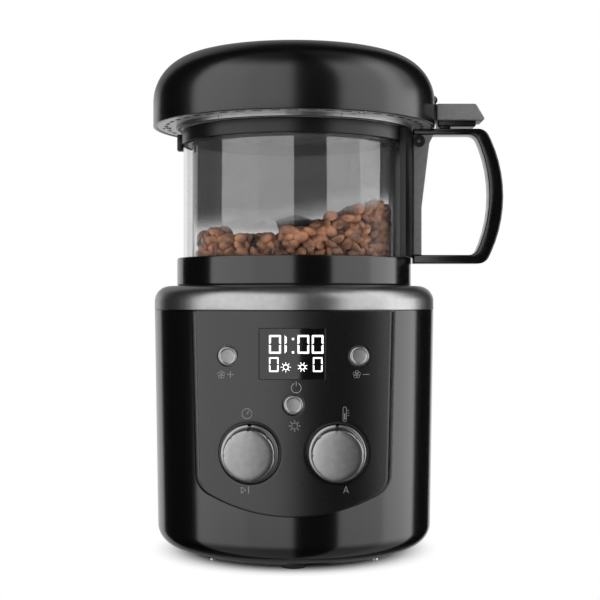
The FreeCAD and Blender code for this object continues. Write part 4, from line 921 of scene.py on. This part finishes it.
handle = {"start": 82.7, "low": 197.7, "high": 291.5, "corner": 133.0, "bow": 12.4, "topBar": 4.2, "lowBar": 6.0,
          "grip": 126.0, "gripBow": 9.6, "round": 8.0, "gripRound": 6.5, "half": 8.0, "edge": 1.3}


def handleOutline():
    start, low, high, corner, grip, bend, gripBend = pick(handle, "start low high corner grip round gripRound")
    innerLow, innerHigh = low + handle["lowBar"], high - handle["topBar"]
    outer = arcBetween((corner, low), (corner, high), handle["bow"], 12)
    inner = arcBetween((grip, innerLow), (grip, innerHigh), handle["gripBow"], 10)[::-1]
    return roundCorners([
        (start, low), (corner, low, bend), *map(tuple, outer), (corner, high, bend), (start, high),
        (start, innerHigh), (grip, innerHigh, gripBend), *map(tuple, inner), (grip, innerLow, gripBend),
        (start, innerLow)], 8)


def rectangle(left, right, low, high):
    return [(left, low), (right, low), (right, high), (left, high)]


prism("handle_bow", handleOutline(), -handle["half"], handle["half"], "jar", "black_gloss", ["handle"],
      bevel=handle["edge"], segments=4)

root = {"low": 203.7, "high": 287.3, "lowReach": 88.6, "topReach": 97.0, "half": 7.5, "rise": 0.35, "screw": 1.8,
        "boss": (86.9, 282.7), "bossRadius": 4.2, "bossProud": 0.9}
low, high, near, far, half, screw, boss = pick(root, "low high lowReach topReach half screw bossRadius")
start, knee = handle["start"], low + (handle["high"] - handle["low"]) * root["rise"]
prism("handle_root_block", roundCorners([
    (start, low), (near, low), (near, knee, 12), (far - 3, high - 6, 3), (far, high), (start, high)], 5), -half, half,
    "jar", "grey_plastic", ["handle_root"], bevel=0.8)
proud, shank = -half - root["bossProud"], screw - 0.05
spun("handle_boss", [(screw, proud, 0.3), (boss, proud, 0.5), (boss, -half + 1), (screw, -half + 1)], "jar",
     "grey_plastic", (), 64, "Y", root["boss"], look=finishes["black_satin"])
spun("handle_screw_head", [
    (0, -half + 0.1), (0.9, -half + 0.1), (shank, -half - 0.35, 0.2), (shank, -half + 3), (0, -half + 3)], "jar",
    "black_satin", ["handle_screw"], 32, "Y", root["boss"], look=deepBlack)

tab = {"start": 98.8, "topReach": 125.8, "lowReach": 132.6, "low": 296.8, "high": 308.2, "half": 12.0,
       "post": (101.6, 108.8, 291.5), "shoe": (100.0, 126.0, 293.4, 9.6), "barrel": (96.4, 311.0, 3.1, 9.0, 1.5)}
left, shelf, crest, half = pick(tab, "start low high half")
prism("hinge_tab", roundCorners([
    (left, shelf, 1.0), (tab["lowReach"], shelf, 1.2), (tab["topReach"], crest, 2.0), (left, crest, 1.0)]),
    -half, half, "jar", "grey_plastic", ["hinge_bracket"], bevel=0.9)
start, end, low, half = tab["shoe"]
prism("hinge_shoe", rectangle(start, end, low, shelf), -half, half, "jar", "black_satin", bevel=0.5)
(start, end, low), half = tab["post"], handle["half"] - 1
prism("hinge_post", rectangle(start, end, low, shelf), -half, half, "jar", "black_satin", bevel=0.4)
across, level, barrel, half, bore = tab["barrel"]
spun("hinge_barrel", [(bore, -half), (barrel, -half, 0.4), (barrel, half, 0.4), (bore, half)], "jar", "black_satin",
     (), 64, "Y", (across, level))
prism("hinge_arm", rectangle(across - 1.2, left + 1.8, crest - 2.4, crest), -half, half, "jar", "black_satin")
print("handle made")


# lid: domed cap with the hinge notch, bright underplate, collar, and painted shade where the vent slots are

lid = {"radius": 98.0, "rim": 292.0, "crown": 458.3, "crownCentre": -112.7, "round": 31.5, "wall": 2.4,
       "notch": (92.3, 9.5, 304.4, 316.4), "plate": (82.2, 95.5, 292.4, 294.4), "collar": (79.6, 82.2, 289.7, 300.0),
       "ear": [(90.4, 307.0, 2), (95.4, 307.0, 1), (95.4, 315.0, 1), (90.4, 315.0, 2)], "earSides": (9.5, 13.9)}


def lidLine(inset):
    radius, crown, turn = [value - inset for value in pick(lid, "radius crown round")]
    across, centre = lid["radius"] - lid["round"], lid["crownCentre"]
    up = centre + sqrt((lid["crown"] - lid["round"]) ** 2 - across ** 2)
    lean = atan2(across, up - centre)
    line = [(radius, lid["rim"])]
    for step in range(17):
        ahead, above = polar(turn, (pi / 2 - lean) * step / 16)
        line.append((across + ahead, up + above))
    for step in range(1, 25):
        above, ahead = polar(crown, lean * (1 - step / 24))
        line.append((ahead, centre + above))
    return line


radius, rim = pick(lid, "radius rim")
edge = [(radius - 0.5, rim), (radius - 0.15, rim + 0.15), (radius, rim + 0.5)]
lidDome = newPiece("lid_dome_cap", *spinPoints(edge + lidLine(0)[1:] + lidLine(lid["wall"])[::-1], 256), "lid",
                   "lid_black", None, ["lid_dome"], 30)
across, half, low, high = lid["notch"]
carve(lidDome, [((across, -half, low), (radius + 4, half, high))], "lid_black", 30)
near, far = lid["earSides"]
for name, front, back in (("lid_ear_front", -far, -near), ("lid_ear_back", near, far)):
    prism(name, roundCorners(lid["ear"]), front, back, "lid", "lid_black")

inner, outer, low, high = lid["plate"]
spun("lid_underplate_ring", [(inner, low), (outer, low, 0.4), (outer, high, 0.3), (inner, high)], "lid",
     "bright_metal", ["lid_underplate"])
inner, outer, low, high = lid["collar"]
spun("lid_collar_band", [(inner, low, 0.3), (outer, low, 0.4), (outer, high, 0.4), (inner, high)], "lid",
     "silver_ring", ["lid_collar"])

seams = {"pixels": (219, 341), "nearer": 62, "width": 0.45, "proud": 0.06, "deep": 0.3, "low": 289.9, "high": 292.3}
within, proud, half = outer - seams["deep"], outer + seams["proud"], seams["width"] / 2 / outer
parts = []
for pixel in seams["pixels"]:
    x, _ = shifted(pixel, 0, view["back"] - seams["nearer"])
    angle, corners = asin(x / outer), []
    for reach, turn in ((within, -half), (within, half), (proud, half), (proud, -half)):
        back, aside = polar(reach, angle + turn)
        corners.append((aside, -back))
    parts.append(([(*corner, z) for z in (seams["low"], seams["high"]) for corner in corners], boxFaces))
newPiece("collar_seams", *gather(parts), "lid", None, deepBlack)

# the vent slots are not cut: thin dark boxes on the underplate paint their shade
slotShade = {"circle": 89.0, "count": 48, "length": 6.4, "width": 2.2, "proud": 0.08}


def slotShadeTree():
    tree, given, place, real = groupTree("plate_slot_shade", (
        ("Circle", "Float"), ("Count", "Int"), ("Size", "Vector"), ("Level", "Float"), ("Finish", "Material")))
    circle, cube, move, where = (tree.nodes.new("GeometryNode" + kind)
                                 for kind in ("MeshCircle", "MeshCube", "Transform", "InputPosition"))
    facing, lift = tree.nodes.new("FunctionNodeAlignEulerToVector"), tree.nodes.new("ShaderNodeCombineXYZ")
    facing.axis = "Y"
    wire((given, "Circle", circle, "Radius"), (given, "Count", circle, "Vertices"), (given, "Size", cube, "Size"),
         (circle, "Mesh", place, "Points"), (cube, "Mesh", place, "Instance"), (where, "Position", facing, "Vector"),
         (facing, "Rotation", place, "Rotation"), (given, "Level", lift, "Z"), (place, "Instances", move, "Geometry"),
         (lift, "Vector", move, "Translation"), (move, "Geometry", real, "Geometry"))
    return tree


slotShadeRing = meshObject("underplate_slots", [], [])
feed(slotShadeRing, slotShadeTree(), {
    "Circle": slotShade["circle"] * mm, "Count": slotShade["count"],
    "Size": (slotShade["length"] * mm, slotShade["width"] * mm, 2 * slotShade["proud"] * mm),
    "Level": lid["plate"][2] * mm, "Finish": deepBlack})
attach(slotShadeRing, "lid")
print("lid made")


# world and floor: a studio of broad soft panels, white behind

studio = {
    # edges in degrees round the object, 0 towards the camera and + towards the handle, with the strength beyond
    "bands": [(-180, 1.1), (-140, 0.015), (-88, 2.2), (-40, 1.95), (-0.6, 0.04), (36.5, 2.1), (78, 2.9),
              (116, 0.015), (155, 1.1)],
    "ceiling": [(0.0, 1.0), (0.72, 1.0), (0.90, 0.10), (1.0, 0.05)],
    "overhead": {"start": 0.10, "end": 0.30, "behind": 0.35},
    "ground": {"start": -0.62, "end": -0.10, "below": 0.22},
    "floorRadius": 3000.0, "floorSides": 96, "floorWhite": 0.86, "fadeStart": 0.066, "fadeEnd": 0.101,
}


def mixed(share, first, second):
    blend = share.id_data.nodes.new("ShaderNodeMixShader")
    for socket, start in ((0, share), (1, first), (2, second)):
        link(start, blend.inputs[socket])
    return blend.outputs["Shader"]


def lightPath(tree):
    # the node, and the share of rays that come from the camera, straight or through glass
    ray = tree.nodes.new("ShaderNodeLightPath")
    return ray, mathNode("MAXIMUM", ray.outputs["Is Camera Ray"], ray.outputs["Is Transmission Ray"])


world = bpy.data.worlds.new("studio")
bpy.context.scene.world = world
world.use_nodes = True
tree = world.node_tree
tree.nodes.clear()
split = tree.nodes.new("ShaderNodeSeparateXYZ")
wire((tree.nodes.new("ShaderNodeTexCoord"), "Generated", split, "Vector"))
towards = mathNode("MULTIPLY", split.outputs["Y"], -1.0)
azimuth = mathNode("ARCTAN2", split.outputs["X"], towards)
share = mathNode("MULTIPLY_ADD", azimuth, 1 / (2 * pi), 0.5)
strongest = max(strength for _, strength in studio["bands"])
bands = rampNode(share, [((edge + 180) / 360, (strength / strongest,) * 3)
                               for edge, strength in studio["bands"]], "CONSTANT")
ceiling = rampNode(split.outputs["Z"], [(stop, (value,) * 3) for stop, value in studio["ceiling"]])
around = mathNode("MULTIPLY", bands, strongest)
overhead, ground = studio["overhead"], studio["ground"]
risen = gradeNode(split.outputs["Z"], overhead["start"], overhead["end"])
rearward = gradeNode(split.outputs["Y"], 0.0, overhead["end"], 0.0, 1.0 - overhead["behind"])
dimmed = mathNode("SUBTRACT", 1.0, mathNode("MULTIPLY", risen, rearward))
lowered = gradeNode(split.outputs["Z"], ground["start"], ground["end"], ground["below"])
strength = mathNode("MULTIPLY", mathNode("MULTIPLY", around, ceiling),
                    mathNode("MULTIPLY", dimmed, lowered))
light, white, worldOut = (tree.nodes.new("ShaderNode" + kind)
                          for kind in ("Background", "Background", "OutputWorld"))
link(strength, light.inputs["Strength"])
fill(white, {"Color": (1, 1, 1, 1)})
backdrop = mixed(lightPath(tree)[1], light.outputs["Background"], white.outputs["Background"])
link(backdrop, worldOut.inputs["Surface"])

radius, count = pick(studio, "floorRadius floorSides")
floor = meshObject("floor", [(0, 0, 0)] + [(*polar(radius, 2 * pi * i / count), 0) for i in range(count)],
                   [(0, 1 + i, 1 + (i + 1) % count) for i in range(count)])
floorLook = bpy.data.materials.new("floor")
floorLook.use_nodes = True
tree = floorLook.node_tree
shader = tree.nodes["Principled BSDF"]
fill(shader, {"Base Color": (*[studio["floorWhite"]] * 3, 1), "Roughness": 0.6})
length = tree.nodes.new("ShaderNodeVectorMath")
length.operation = "LENGTH"
wire((tree.nodes.new("ShaderNodeTexCoord"), "Object", length, 0))
fade = gradeNode(length.outputs["Value"], studio["fadeStart"], studio["fadeEnd"])
# beyond the fade the camera's rays meet white, and reflections see through to the studio
ray, seen = lightPath(tree)
glow, clear = tree.nodes.new("ShaderNodeEmission"), tree.nodes.new("ShaderNodeBsdfTransparent")
whiteFloor = mixed(mathNode("MULTIPLY", seen, fade), shader.outputs["BSDF"], glow.outputs["Emission"])
openShare = mathNode("MULTIPLY", ray.outputs["Is Glossy Ray"], fade)
link(mixed(openShare, whiteFloor, clear.outputs["BSDF"]), tree.nodes["Material Output"].inputs["Surface"])
floor.data.materials.append(floorLook)
print("studio made")
